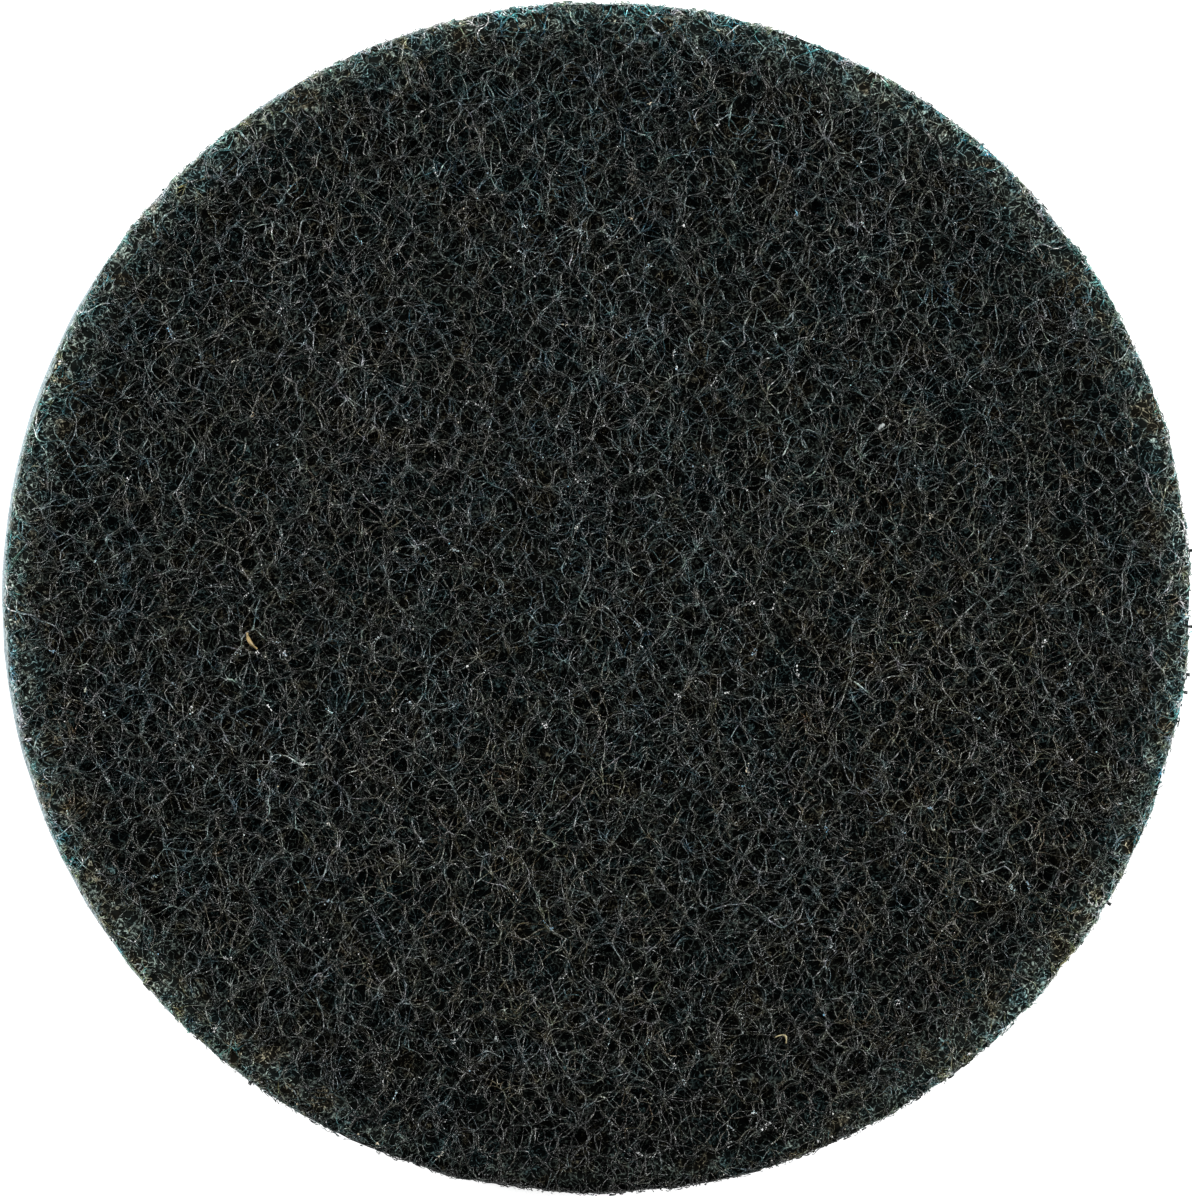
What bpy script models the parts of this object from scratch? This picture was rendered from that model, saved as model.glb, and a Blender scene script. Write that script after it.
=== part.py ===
"""Surface conditioning disc: a round pad of tangled, grit-coated nylon on a woven scrim and a loop fleece.

Run it with blender --background --python part.py, or from Blender's text editor. Sizes are in metres and +Z is
up. The disc lies on its fleece at z = 0 with its axis on Z and its abrasive face up. Each layer is seated on
the one below it: fleece, scrim, web.
"""

import math

import bmesh
import bpy
from mathutils import Matrix, Vector, noise

# Driving dimensions
DISC_DIAMETER = 0.125
BED_THICKNESS = 0.0033
CLOTH_THICKNESS = 0.0002
FLEECE_THICKNESS = 0.0010
LAYER_GAP = 0.0003

# How far each layer's cut edge stands in from the fleece's, which is the widest
WEB_SETBACK = 0.0003
SCRIM_SETBACK = 0.0002

# The web's coarse relief: lumps and curled strands that stand on its bed, and a ragged rim with a worn corner
STRAND_HEIGHT = 0.0008
STRAND_WIDTH = 0.0007
STRAND_CURL = 0.0080
STRAND_LAYERS = 3
LAYER_SHIFT = Vector((17.0, 31.0, 7.0))
LUMP_HEIGHT = 0.0003
LUMP_LENGTH = 0.0060
RIM_ROUND = 0.0011
RIM_RAGGEDNESS = 0.0003
RAG_LENGTH = 0.0030
WEB_RINGS = 34
RIM_STEPS = 3

# The scrim's plain weave, which stands above and below its cloth, and the fleece's pressed edge
WEAVE_PITCH = 0.0050
WEAVE_DEPTH = 0.0001
FLEECE_EDGE_ROUND = 0.0003
ROUND_STEPS = 96
EDGE_STEPS = 3

# Finishes: colour, roughness and metallic value of each layer
WEB_FINISH = ("web_grit_nylon", (0.040, 0.046, 0.044), 0.62, 0.0)
SCRIM_FINISH = ("scrim_nylon", (0.300, 0.340, 0.340), 0.75, 0.0)
FLEECE_FINISH = ("fleece_nylon", (0.370, 0.440, 0.450), 0.90, 0.0)


def remove_everything():
    """Clear the scene's objects."""
    for item in list(bpy.data.objects):
        bpy.data.objects.remove(item, do_unlink=True)


def new_collection(name):
    """Make a collection in the scene."""
    group = bpy.data.collections.new(name)
    bpy.context.scene.collection.children.link(group)
    return group


def new_material(finish):
    """Make a Principled material from a name, colour, roughness and metallic value."""
    name, colour, roughness, metallic = finish
    material = bpy.data.materials.new(name)
    material.use_nodes = True
    shader = material.node_tree.nodes["Principled BSDF"]
    shader.inputs["Base Color"].default_value = (*colour, 1.0)
    shader.inputs["Roughness"].default_value = roughness
    shader.inputs["Metallic"].default_value = metallic
    return material


def add_object(name, work, group, finish=None):
    """Turn a bmesh into an object of a collection, shaded smooth if it is a finished layer."""
    mesh = bpy.data.meshes.new(name)
    work.to_mesh(mesh)
    work.free()
    layer = bpy.data.objects.new(name, mesh)
    group.objects.link(layer)
    if finish:
        mesh.materials.append(new_material(finish))
        mesh.shade_smooth()
    return layer


def hexagon_to_disc(place):
    """Push a point of the hexagon of radius 1 outward, so that its rings of hexagons become circles.

    The hexagon has a corner at +Y, so the middles of its sides lie every 60 degrees from +X.
    """
    if place.length == 0.0:
        return Vector((0.0, 0.0, 0.0))
    turns = [math.radians(60.0 * side) for side in range(6)]
    reach = max(place.x * math.cos(turn) + place.y * math.sin(turn) for turn in turns)
    return Vector((place.x, place.y, 0.0)).normalized() * reach / math.cos(math.radians(30.0))


def strand_relief(place):
    """Height of the curled strands: ridges along the lines where smooth noise fields cross zero."""
    height = 0.0
    for layer in range(STRAND_LAYERS):
        field = noise.noise(place / STRAND_CURL + LAYER_SHIFT * layer)
        distance = abs(field) * STRAND_CURL
        height = max(height, math.exp(-((distance / STRAND_WIDTH) ** 2)))
    return STRAND_HEIGHT * height


def unit_noise(place):
    """Smooth noise from 0 to 1."""
    return 0.5 + 0.5 * max(-1.0, min(1.0, noise.noise(place)))


def lump_relief(place):
    """Height of the broad lumps of the tangled bed, from 0 to LUMP_HEIGHT."""
    return LUMP_HEIGHT * unit_noise(place / LUMP_LENGTH)


def rim_offset(place):
    """How far a point of the fuzzy rim is pulled in, from 0 to RIM_RAGGEDNESS."""
    return RIM_RAGGEDNESS * unit_noise(place / RAG_LENGTH)


def extrude_rim(work, edges, radius, height):
    """Carry an open, round rim to a new radius and height, and return the new rim's edges."""
    made = bmesh.ops.extrude_edge_only(work, edges=edges)["geom"]
    for vertex in (item for item in made if isinstance(item, bmesh.types.BMVert)):
        outward = Vector((vertex.co.x, vertex.co.y, 0.0)).normalized()
        vertex.co = outward * radius + Vector((0.0, 0.0, height))
    return [item for item in made if isinstance(item, bmesh.types.BMEdge) and item.is_boundary]


def face_outward(work):
    """Give a closed mesh's faces one direction, outward, which makes its volume positive."""
    bmesh.ops.recalc_face_normals(work, faces=work.faces)
    if work.calc_volume(signed=True) < 0.0:
        bmesh.ops.reverse_faces(work, faces=work.faces)


def build_web(group, base):
    """The tangled pad: an even disc of triangles with strands on top, a rounded ragged rim and a flat base."""
    radius = 0.5 * DISC_DIAMETER - WEB_SETBACK
    bed = base + BED_THICKNESS
    rounding = min(RIM_ROUND, 0.5 * BED_THICKNESS)
    face_radius = radius - rounding
    work = bmesh.new()
    bmesh.ops.create_circle(work, cap_ends=True, cap_tris=True, segments=6, radius=1.0)
    bmesh.ops.subdivide_edges(work, edges=work.edges[:], cuts=WEB_RINGS - 1, use_grid_fill=True)
    for vertex in work.verts:
        place = hexagon_to_disc(vertex.co) * face_radius
        vertex.co = place + Vector((0.0, 0.0, bed + strand_relief(place) + lump_relief(place)))
    rim = [edge for edge in work.edges if edge.is_boundary]
    face = set(work.verts)
    for step in range(1, RIM_STEPS + 1):
        turn = 0.5 * math.pi * step / RIM_STEPS
        height = bed - rounding * (1.0 - math.cos(turn))
        rim = extrude_rim(work, rim, face_radius + rounding * math.sin(turn), height)
    rim = extrude_rim(work, rim, radius, base)
    for vertex in (item for item in work.verts if item not in face):
        outward = Vector((vertex.co.x, vertex.co.y, 0.0)).normalized()
        vertex.co -= outward * rim_offset(vertex.co)
    bmesh.ops.edgeloop_fill(work, edges=rim)
    face_outward(work)
    return add_object("abrasive_web", work, group, WEB_FINISH)


def scrim_thickness():
    """Thickness of the woven cloth over its highest and lowest crossings."""
    return CLOTH_THICKNESS + 2.0 * WEAVE_DEPTH


def build_scrim(group, cutters, base):
    """The woven cloth: a sheet whose crossings rise and fall, cut round by a cylinder."""
    radius = 0.5 * DISC_DIAMETER - SCRIM_SETBACK
    middle = base + 0.5 * scrim_thickness()
    cells = 2 * math.ceil(radius / WEAVE_PITCH) + 2
    work = bmesh.new()
    bmesh.ops.create_grid(work, x_segments=cells, y_segments=cells, size=0.5 * cells * WEAVE_PITCH)
    for vertex in work.verts:
        column = round(vertex.co.x / WEAVE_PITCH)
        row = round(vertex.co.y / WEAVE_PITCH)
        rise = WEAVE_DEPTH if (column + row) % 2 else -WEAVE_DEPTH
        vertex.co.z = middle + rise
    scrim = add_object("woven_scrim", work, group, SCRIM_FINISH)
    thick = scrim.modifiers.new("cloth thickness", "SOLIDIFY")
    thick.thickness = CLOTH_THICKNESS
    thick.offset = 0.0
    cut = scrim.modifiers.new("round cut", "BOOLEAN")
    cut.operation = "INTERSECT"
    cut.object = round_cutter(cutters, radius, middle)
    return scrim


def round_cutter(cutters, radius, middle):
    """A cylinder that passes well through the scrim, by its whole thickness above and below."""
    work = bmesh.new()
    bmesh.ops.create_cone(work, cap_ends=True, segments=ROUND_STEPS, radius1=radius, radius2=radius,
                          depth=3.0 * scrim_thickness(), matrix=Matrix.Translation((0.0, 0.0, middle)))
    cutter = add_object("scrim_cutter", work, cutters)
    cutter.hide_render = True
    cutter.display_type = "WIRE"
    return cutter


def edge_profile(radius, low, high, rounding):
    """Points of a flat disc's half section, from its top's middle over both rounded edges to its base's middle."""
    points = [(0.0, high)]
    for middle, first in ((high - rounding, 0.0), (low + rounding, 0.5 * math.pi)):
        for step in range(EDGE_STEPS + 1):
            turn = first + 0.5 * math.pi * step / EDGE_STEPS
            points.append((radius - rounding * (1.0 - math.sin(turn)), middle + rounding * math.cos(turn)))
    return points + [(0.0, low)]


def build_fleece(group, base):
    """The hook-and-loop facing: a turned disc with a flat back and soft pressed edges."""
    work = bmesh.new()
    rounding = min(FLEECE_EDGE_ROUND, 0.4 * FLEECE_THICKNESS)
    profile = edge_profile(0.5 * DISC_DIAMETER, base, base + FLEECE_THICKNESS, rounding)
    corners = [work.verts.new((x, 0.0, z)) for x, z in profile]
    for first, second in zip(corners, corners[1:]):
        work.edges.new((first, second))
    fleece = add_object("loop_fleece", work, group, FLEECE_FINISH)
    turned = fleece.modifiers.new("turn", "SCREW")
    turned.axis = "Z"
    turned.angle = 2.0 * math.pi
    turned.steps = ROUND_STEPS
    turned.render_steps = ROUND_STEPS
    turned.use_merge_vertices = True
    turned.merge_threshold = 0.00001
    turned.use_smooth_shade = True
    return fleece


def main():
    """Seat the three layers on one another, from the fleece up."""
    remove_everything()
    group = new_collection("surface_conditioning_disc")
    cutters = new_collection("cutters")
    scrim_base = FLEECE_THICKNESS + LAYER_GAP
    web_base = scrim_base + scrim_thickness() + LAYER_GAP
    build_fleece(group, 0.0)
    build_scrim(group, cutters, scrim_base)
    build_web(group, web_base)


main()
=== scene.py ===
"""Looks of a surface conditioning disc: its tangled web, woven scrim and loop fleece, and a studio.

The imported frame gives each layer's place. The web is a dark bed under thousands of single fibres, each a thin
tube along a crimped path. Under it lie a woven cloth, and a felted ground with a pile of small loops.
"""

import logging
import math
from dataclasses import dataclass, field
from enum import Enum, IntEnum
from typing import Any, Optional

import bpy
import numpy as np
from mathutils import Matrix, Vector


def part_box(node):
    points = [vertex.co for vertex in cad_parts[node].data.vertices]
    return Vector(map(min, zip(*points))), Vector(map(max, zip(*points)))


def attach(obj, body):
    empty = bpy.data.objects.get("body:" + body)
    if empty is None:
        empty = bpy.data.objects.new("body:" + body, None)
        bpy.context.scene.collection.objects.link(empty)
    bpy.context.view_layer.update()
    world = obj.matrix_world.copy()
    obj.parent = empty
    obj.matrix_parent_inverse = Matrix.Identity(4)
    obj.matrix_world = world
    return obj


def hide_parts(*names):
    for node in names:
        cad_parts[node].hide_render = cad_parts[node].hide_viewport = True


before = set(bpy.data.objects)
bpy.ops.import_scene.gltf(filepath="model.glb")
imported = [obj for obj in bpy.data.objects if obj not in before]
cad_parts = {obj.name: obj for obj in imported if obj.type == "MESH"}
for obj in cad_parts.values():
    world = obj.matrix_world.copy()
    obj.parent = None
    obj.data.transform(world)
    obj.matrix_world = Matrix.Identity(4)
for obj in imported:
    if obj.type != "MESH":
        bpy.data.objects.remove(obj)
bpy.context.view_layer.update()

LOG = logging.getLogger("surface_conditioning_disc")
TAU = 2.0 * math.pi
MM = 0.001
PHOTO_CENTRE = (596.0, 597.3)
PHOTO_RADIUS = 595.5
BAKE_MAP = "OFBake"
TINT = "tint"
WHITE = (1.0, 1.0, 1.0, 1.0)

# Keeps a vector of no length from being divided by zero
TINY = 1e-12

# Least and greatest wave number of smooth noise, over its mean one, and the steepness of the side towards -Y
WAVE_SPREAD = (0.6, 1.5)
NEAR_POWER = 6

# Length of one band of Blender's wave texture at scale 1, and the numbers of the Mix node's colour sockets
BAND_LENGTH = TAU / 20.0
MIX_FACTOR, MIX_FIRST, MIX_SECOND, MIX_RESULT = 0, 6, 7, 2

# A fibre is a three-sided tube. In the bake map it has its own strip, in which its caps are small triangles
TUBE_SIDES = 3
STRIP_COLUMNS = 4
STRIP_MARGIN_ALONG = 0.01
STRIP_MARGIN_AROUND = 0.12
CAP_ALONG = (0.0, 0.002, 0.001)
CAP_AROUND = (0.4, 0.4, 0.6)

Colour = tuple[float, float, float]
Range = tuple[float, float]
Pair = tuple[float, float]
Pixel = tuple[float, float]
Array = np.ndarray


class Layer(Enum):
    """The CAD nodes."""

    WEB = "abrasive_web"
    SCRIM = "woven_scrim"
    FLEECE = "loop_fleece"

    def box(self) -> tuple[Array, Array]:
        """Return the lowest and highest corners of the layer's solid."""
        low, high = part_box(self.value)
        return np.array(low), np.array(high)

    def radius(self) -> float:
        """Return half the layer's mean width."""
        low, high = self.box()
        return float(np.mean((high - low)[:2])) / 2.0


class WebSeed(IntEnum):
    """What the web's own seed is raised by for each use of random numbers."""

    BED_FACE = 5
    BED_WALL = 6
    CUT = 8
    KNOTS = 9
    FACE_BATCH = 10
    WALL_BATCH = 30
    FACE_GRIT_AND_GLINTS = 40
    EDGE_PAINTED_GLINTS = 41
    COATING = 50
    CRYSTALS = 60
    BARE_WALL = 61
    FLECKS = 62


class CoatingSeed(IntEnum):
    """What the coating's seed is raised by for each of its fields of noise."""

    LIGHT = 0
    WARM = 10
    GREEN = 20
    SPOTS = 30


class FleeceSeed(IntEnum):
    """What the fleece's own seed is raised by for each use of random numbers."""

    GROUND = 0
    PILE = 1
    EDGE = 2


def photo_point(x: float, y: float) -> Pair:
    """Place a pixel of the photograph on the disc.

    Args:
        x: Pixel column.
        y: Pixel row.

    Returns:
        The point's x and y in metres, from the pixel's distance to the disc's centre over its radius.
    """
    scale = Layer.FLEECE.radius() / PHOTO_RADIUS
    return (x - PHOTO_CENTRE[0]) * scale, (PHOTO_CENTRE[1] - y) * scale


def smooth_step(value: Array, low: float, high: float) -> Array:
    """Rise from 0 at low to 1 at high, as 3t^2 - 2t^3.

    Args:
        value: Any array.
        low: Value that gives 0.
        high: Value that gives 1.

    Returns:
        The eased array.
    """
    t = np.clip((value - low) / (high - low), 0.0, 1.0)
    return t * t * (3.0 - 2.0 * t)


def even_turns(count: int) -> Array:
    """Return a number of angles, spaced evenly all round from +X."""
    return TAU * np.arange(count) / count


def unit_at(angle: Array) -> Array:
    """Return the level unit vector at each angle, its cosine and sine, on a new last axis."""
    return np.stack([np.cos(angle), np.sin(angle)], axis=-1)


def raised(flat: Array, height: Any) -> Array:
    """Join level positions with their heights.

    Args:
        flat: Array (..., 2) of positions.
        height: A height for all of them, or an array (...) of heights.

    Returns:
        Array (..., 3).
    """
    heights = np.broadcast_to(height, flat.shape[:-1])
    return np.concatenate([flat, heights[..., None]], axis=-1)


def near_side(points: Array) -> Array:
    """Rise steeply to 1 at -Y: the sixth power of minus the sine of the angle about the axis.

    Args:
        points: Array (..., 2 or more) of positions.

    Returns:
        Array (...) from 0 to 1.
    """
    reach = np.hypot(points[..., 0], points[..., 1])
    return np.clip(-points[..., 1] / (reach + MM), 0.0, 1.0) ** NEAR_POWER


def wave_noise(points: Array, length: float, seed: int, waves: int = 20) -> Array:
    """Smooth random field: the sum of plane waves of about one length and random direction and phase.

    Args:
        points: Array (..., d) of positions in metres.
        length: Mean wavelength in metres.
        seed: Seed of the waves.
        waves: Number of plane waves.

    Returns:
        Array (...) with mean 0 and standard deviation 1.
    """
    draw = np.random.default_rng(seed)
    turns = draw.normal(size=(points.shape[-1], waves))
    turns *= TAU / length * draw.uniform(*WAVE_SPREAD, waves) / np.linalg.norm(turns, axis=0)
    return np.cos(points @ turns + draw.uniform(0.0, TAU, waves)).sum(axis=-1) * math.sqrt(2.0 / waves)


def add_fields(value: Array, points: Array, fields: tuple[Pair, ...], seed: int) -> Array:
    """Add smooth noise of several wavelengths, each times its own spread.

    Args:
        value: Array (...) to add to.
        points: Array (..., d) of positions in metres.
        fields: Each field's wavelength and spread.
        seed: Seed of the first field. Each later one has the next seed.

    Returns:
        The sum.
    """
    for number, (length, spread) in enumerate(fields):
        value = value + spread * wave_noise(points, length, seed + number)
    return value


def add_object(name: str, data: Any) -> bpy.types.Object:
    """Put a new object into the scene's collection.

    Args:
        name: The object's name.
        data: Its mesh, lamp or camera.

    Returns:
        The new object, at the origin.
    """
    made = bpy.data.objects.new(name, data)
    bpy.context.scene.collection.objects.link(made)
    return made


def put_mesh(name: str, points: Array, quads: Array, triangles: Array, uv: Optional[Array] = None,
             tint: Optional[Array] = None) -> bpy.types.Object:
    """Make a smooth object from arrays.

    Args:
        name: The object's name.
        points: Array (n, 3) of positions.
        quads: Array (q, 4) of point numbers.
        triangles: Array (t, 3) of point numbers.
        uv: Array (4q + 3t, 2) for the faces' corners, in their order, or None.
        tint: Array (n, 3) of point colours, or None.

    Returns:
        The new object.
    """
    mesh = bpy.data.meshes.new(name)
    mesh.vertices.add(len(points))
    mesh.vertices.foreach_set("co", points.astype(np.float32).ravel())
    corners = np.concatenate([quads.ravel(), triangles.ravel()]).astype(np.int32)
    starts = np.concatenate([4 * np.arange(len(quads)), 4 * len(quads) + 3 * np.arange(len(triangles))])
    mesh.loops.add(len(corners))
    mesh.loops.foreach_set("vertex_index", corners)
    mesh.polygons.add(len(starts))
    mesh.polygons.foreach_set("loop_start", starts.astype(np.int32))
    mesh.polygons.foreach_set("use_smooth", np.ones(len(starts), dtype=bool))
    if uv is not None:
        layer = mesh.uv_layers.new(name=BAKE_MAP)
        layer.uv.foreach_set("vector", uv.astype(np.float32).ravel())
    if tint is not None:
        colours = np.ones((len(points), 4), dtype=np.float32)
        colours[:, :3] = tint
        mesh.color_attributes.new(TINT, "FLOAT_COLOR", "POINT").data.foreach_set("color", colours.ravel())
    mesh.update(calc_edges=True)
    return add_object(name, mesh)


def ring_quads(rings: int, sectors: int) -> Array:
    """Number the quads between rings of points, each with the next.

    Args:
        rings: Number of rings, from the top's middle over the rim to the base's middle.
        sectors: Number of points in a ring.

    Returns:
        Array (q, 4) of point numbers, which face outwards.
    """
    row, column = np.meshgrid(np.arange(rings - 1), np.arange(sectors), indexing="ij")
    ahead = (column + 1) % sectors
    here, below = row * sectors, (row + 1) * sectors
    return np.stack([below + column, below + ahead, here + ahead, here + column], axis=-1).reshape(-1, 4)


def pole_fans(rings: int, sectors: int) -> Array:
    """Close the first and last rings with fans of triangles.

    Args:
        rings: Number of rings.
        sectors: Number of points in a ring.

    Returns:
        Array (2 * sectors, 3) of point numbers, where the two points after the rings' are the fans' hubs.
    """
    column = np.arange(sectors)
    ahead = (column + 1) % sectors
    hub = np.full(sectors, rings * sectors)
    last = (rings - 1) * sectors
    return np.concatenate([np.stack([hub, column, ahead], axis=-1),
                           np.stack([hub + 1, last + ahead, last + column], axis=-1)])


def ringed_body(name: str, points: Array, first: float, last: float) -> bpy.types.Object:
    """Make a closed body of rings about the disc's axis.

    Args:
        name: The object's name.
        points: Array (rings, sectors, 3) of positions, in the order of the rings in ring_quads.
        first: Height of the hub that closes the first ring.
        last: Height of the hub that closes the last ring.

    Returns:
        The new object.
    """
    rings, sectors = points.shape[:2]
    hubs = np.array([[0.0, 0.0, first], [0.0, 0.0, last]])
    return put_mesh(name, np.concatenate([points.reshape(-1, 3), hubs]), ring_quads(rings, sectors),
                    pole_fans(rings, sectors))


def finish_piece(piece: bpy.types.Object, layer: Layer, material: bpy.types.Material) -> None:
    """Dress a piece, let it ride on the disc, and hide its layer's CAD node, in whose place it stands.

    Args:
        piece: The finished object.
        layer: The layer that it belongs to.
        material: Its material.
    """
    piece.data.materials.append(material)
    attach(piece, "root")
    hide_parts(layer.value)
    LOG.info("%s: %d faces", piece.name, len(piece.data.polygons))


class Wire:
    """A socket of a shader tree, whose operators add Math nodes."""

    def __init__(self, tree: "ShaderTree", socket: bpy.types.NodeSocket) -> None:
        """Keep the tree and the output socket."""
        self.tree = tree
        self.socket = socket

    def __add__(self, other: Any) -> "Wire":
        """Add."""
        return self.tree.maths("ADD", self, other)

    def __sub__(self, other: Any) -> "Wire":
        """Subtract."""
        return self.tree.maths("SUBTRACT", self, other)

    def __mul__(self, other: Any) -> "Wire":
        """Multiply."""
        return self.tree.maths("MULTIPLY", self, other)

    def __rsub__(self, other: Any) -> "Wire":
        """Subtract from a number."""
        return self.tree.maths("SUBTRACT", other, self)

    def __abs__(self) -> "Wire":
        """Take the absolute value."""
        return self.tree.maths("ABSOLUTE", self)

    __radd__ = __add__
    __rmul__ = __mul__


class ShaderTree:
    """A material's or world's node tree, built from Python calls."""

    def __init__(self, owner: Any) -> None:
        """Start with an empty tree.

        Args:
            owner: A material or a world.
        """
        owner.use_nodes = True
        self.tree = owner.node_tree
        self.tree.nodes.clear()

    def node(self, kind: str, settings: Optional[dict[str, Any]] = None,
             sockets: Optional[dict[Any, Any]] = None, output: Any = 0) -> Wire:
        """Add one node.

        Args:
            kind: The node's type name without its Shader prefix.
            settings: Properties of the node, set first.
            sockets: Values or wires for its inputs, by name or number.
            output: Name or number of the output to return.

        Returns:
            A wire from that output.
        """
        node = self.tree.nodes.new("ShaderNode" + kind)
        for key, value in (settings or {}).items():
            setattr(node, key, value)
        for key, value in (sockets or {}).items():
            if isinstance(value, Wire):
                self.tree.links.new(value.socket, node.inputs[key])
            else:
                node.inputs[key].default_value = value
        return Wire(self, node.outputs[output])

    def maths(self, operation: str, *values: Any) -> Wire:
        """Add a Math node on one, two or three values."""
        return self.node("Math", {"operation": operation}, dict(enumerate(values)))

    def vector(self, operation: str, *values: Any) -> Wire:
        """Add a Vector Math node on one or two colours or vectors."""
        return self.node("VectorMath", {"operation": operation}, dict(enumerate(values)))

    def scaled(self, colour: Any, share: Any) -> Wire:
        """Multiply a colour by a number."""
        return self.node("VectorMath", {"operation": "SCALE"}, {"Vector": colour, "Scale": share})

    def place(self) -> Wire:
        """Return the object's own coordinates, in metres."""
        return self.node("TexCoord", output="Object")

    def point_tint(self) -> Wire:
        """Return the colour that each point carries."""
        return self.node("Attribute", {"attribute_name": TINT}, output="Color")

    def noise(self, place: Wire, length: float, detail: float, shift: float = 0.0) -> Wire:
        """Add noise from about 0 to 1.

        Args:
            place: Coordinates in metres.
            length: Size of its features in metres.
            detail: Octaves beyond the first.
            shift: Offset in Z that makes another pattern.

        Returns:
            The noise's value.
        """
        moved = self.vector("ADD", place, (0.0, 0.0, shift))
        return self.node("TexNoise", {}, {"Vector": moved, "Scale": 1.0 / length, "Detail": detail})

    def ramp(self, value: Wire, span: Range, ends: Range = (0.0, 1.0)) -> Wire:
        """Map a value smoothly.

        Args:
            value: The value.
            span: Where the slope begins and ends. The first may be the greater.
            ends: What the span's two values become.

        Returns:
            The mapped value, level outside the span.
        """
        sockets = dict(zip(("From Min", "From Max", "To Min", "To Max"), (*span, *ends)))
        return self.node("MapRange", {"interpolation_type": "SMOOTHSTEP"}, {"Value": value, **sockets})

    def blend(self, mask: Any, first: Any, second: Any) -> Wire:
        """Mix two colours by a mask.

        Args:
            mask: Value from 0, the first colour, to 1, the second.
            first: A colour or a wire.
            second: A colour or a wire.

        Returns:
            The mixed colour.
        """
        sockets = {MIX_FACTOR: mask, MIX_FIRST: self.opaque(first), MIX_SECOND: self.opaque(second)}
        return self.node("Mix", {"data_type": "RGBA"}, sockets, MIX_RESULT)

    def opaque(self, colour: Any) -> Any:
        """Return a wire as it is, and a colour of three numbers with an alpha of 1."""
        return colour if isinstance(colour, Wire) else (*colour, 1.0)

    def bump(self, height: Wire, depth: float) -> Wire:
        """Turn a height from 0 to 1, where 1 is the depth in metres, into a normal."""
        return self.node("Bump", {}, {"Height": height, "Distance": depth, "Strength": 1.0})

    def principled(self, **sockets: Any) -> Wire:
        """Add a Principled shader, whose sockets are named with underscores for spaces."""
        named = {key.replace("_", " "): value for key, value in sockets.items()}
        return self.node("BsdfPrincipled", {}, named)

    def surface(self, shader: Wire) -> None:
        """End the tree with a shader on the surface.

        Args:
            shader: The shader.
        """
        kind = "OutputWorld" if isinstance(self.tree.id_data, bpy.types.World) else "OutputMaterial"
        node = self.tree.nodes.new("ShaderNode" + kind)
        self.tree.links.new(shader.socket, node.inputs["Surface"])


@dataclass(frozen=True)
class Finish:
    """A material: plain, in each point's own tint, unless a kind of finish makes another shader."""

    name: str
    roughness: float

    def shader(self, tree: ShaderTree) -> Wire:
        """Add the finish's nodes to a tree and return its shader."""
        return tree.principled(Base_Color=tree.point_tint(), Roughness=self.roughness)

    def material(self) -> bpy.types.Material:
        """Make the material.

        Returns:
            The new material.
        """
        made = bpy.data.materials.new(self.name)
        tree = ShaderTree(made)
        tree.surface(self.shader(tree))
        return made


# Material of the grains of grit, the rim's painted highlight specks and the flecks
GRAINS_AND_GLINTS = Finish("grains_and_painted_glints", roughness=0.22)
LOOP_YARN = Finish("fleece_loop_yarn", roughness=0.85)


@dataclass(frozen=True)
class FibreFinish(Finish):
    """Resin-coated nylon: each point's own tint, broken into beads, with pale grit that also paints glints, and
    a grainy relief.

    Attributes:
        gloss: Specular level.
        grit_length: Size of the grit.
        grit_span: Noise between which the grit rises.
        grit_factors: Least and greatest factor of the grit on the tint.
        grit_start: Factor from which the grit's own colour shows.
        grit: That colour, of pale grit that also paints glints.
        grit_share: Share of the tint that is added to it.
        bead_length: Size of the beads.
        bead_shift: Offset of their noise.
        bead_span: Noise between which they rise.
        bead_factors: Least and greatest factor of the beads on the tint.
        grain_length: Size of the grain in the relief.
        grain_shift: Offset of its noise.
        grain_depth: Its depth.
    """

    name: str = "coated_nylon_fibre"
    roughness: float = 0.27
    gloss: float = 1.0
    grit_length: float = 0.17 * MM
    grit_span: Range = (0.38, 0.70)
    grit_factors: Range = (0.36, 3.0)
    grit_start: float = 1.05
    grit: Colour = (0.0370, 0.0380, 0.0364)
    grit_share: float = 0.32
    bead_length: float = 0.42 * MM
    bead_shift: float = 0.02
    bead_span: Range = (0.36, 0.64)
    bead_factors: Range = (0.42, 1.8)
    grain_length: float = 0.26 * MM
    grain_shift: float = 0.05
    grain_depth: float = 0.09 * MM

    def shader(self, tree: ShaderTree) -> Wire:
        """Add the nodes: the tint up to a limit, and above it the grit's own pale colour, which also paints
        glints.

        Args:
            tree: The material's tree.

        Returns:
            The shader.
        """
        place = tree.place()
        tint = tree.point_tint()
        grit = tree.ramp(tree.noise(place, self.grit_length, detail=1.0), self.grit_span, self.grit_factors)
        bead = tree.noise(place, self.bead_length, detail=0.0, shift=self.bead_shift)
        strength = grit * tree.ramp(bead, self.bead_span, self.bead_factors)
        resin = tree.scaled(tint, tree.maths("MINIMUM", strength, self.grit_start))
        # Pale grit specks, partly a painted glint
        grit_and_glint_speck = tree.vector("ADD", self.grit, tree.scaled(tint, self.grit_share))
        pale = tree.scaled(grit_and_glint_speck, tree.maths("MAXIMUM", strength - self.grit_start, 0.0))
        grain = tree.noise(place, self.grain_length, detail=0.0, shift=self.grain_shift)
        return tree.principled(Base_Color=tree.vector("ADD", resin, pale), Roughness=self.roughness,
                               Specular_IOR_Level=self.gloss, Normal=tree.bump(grain, self.grain_depth))


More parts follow.
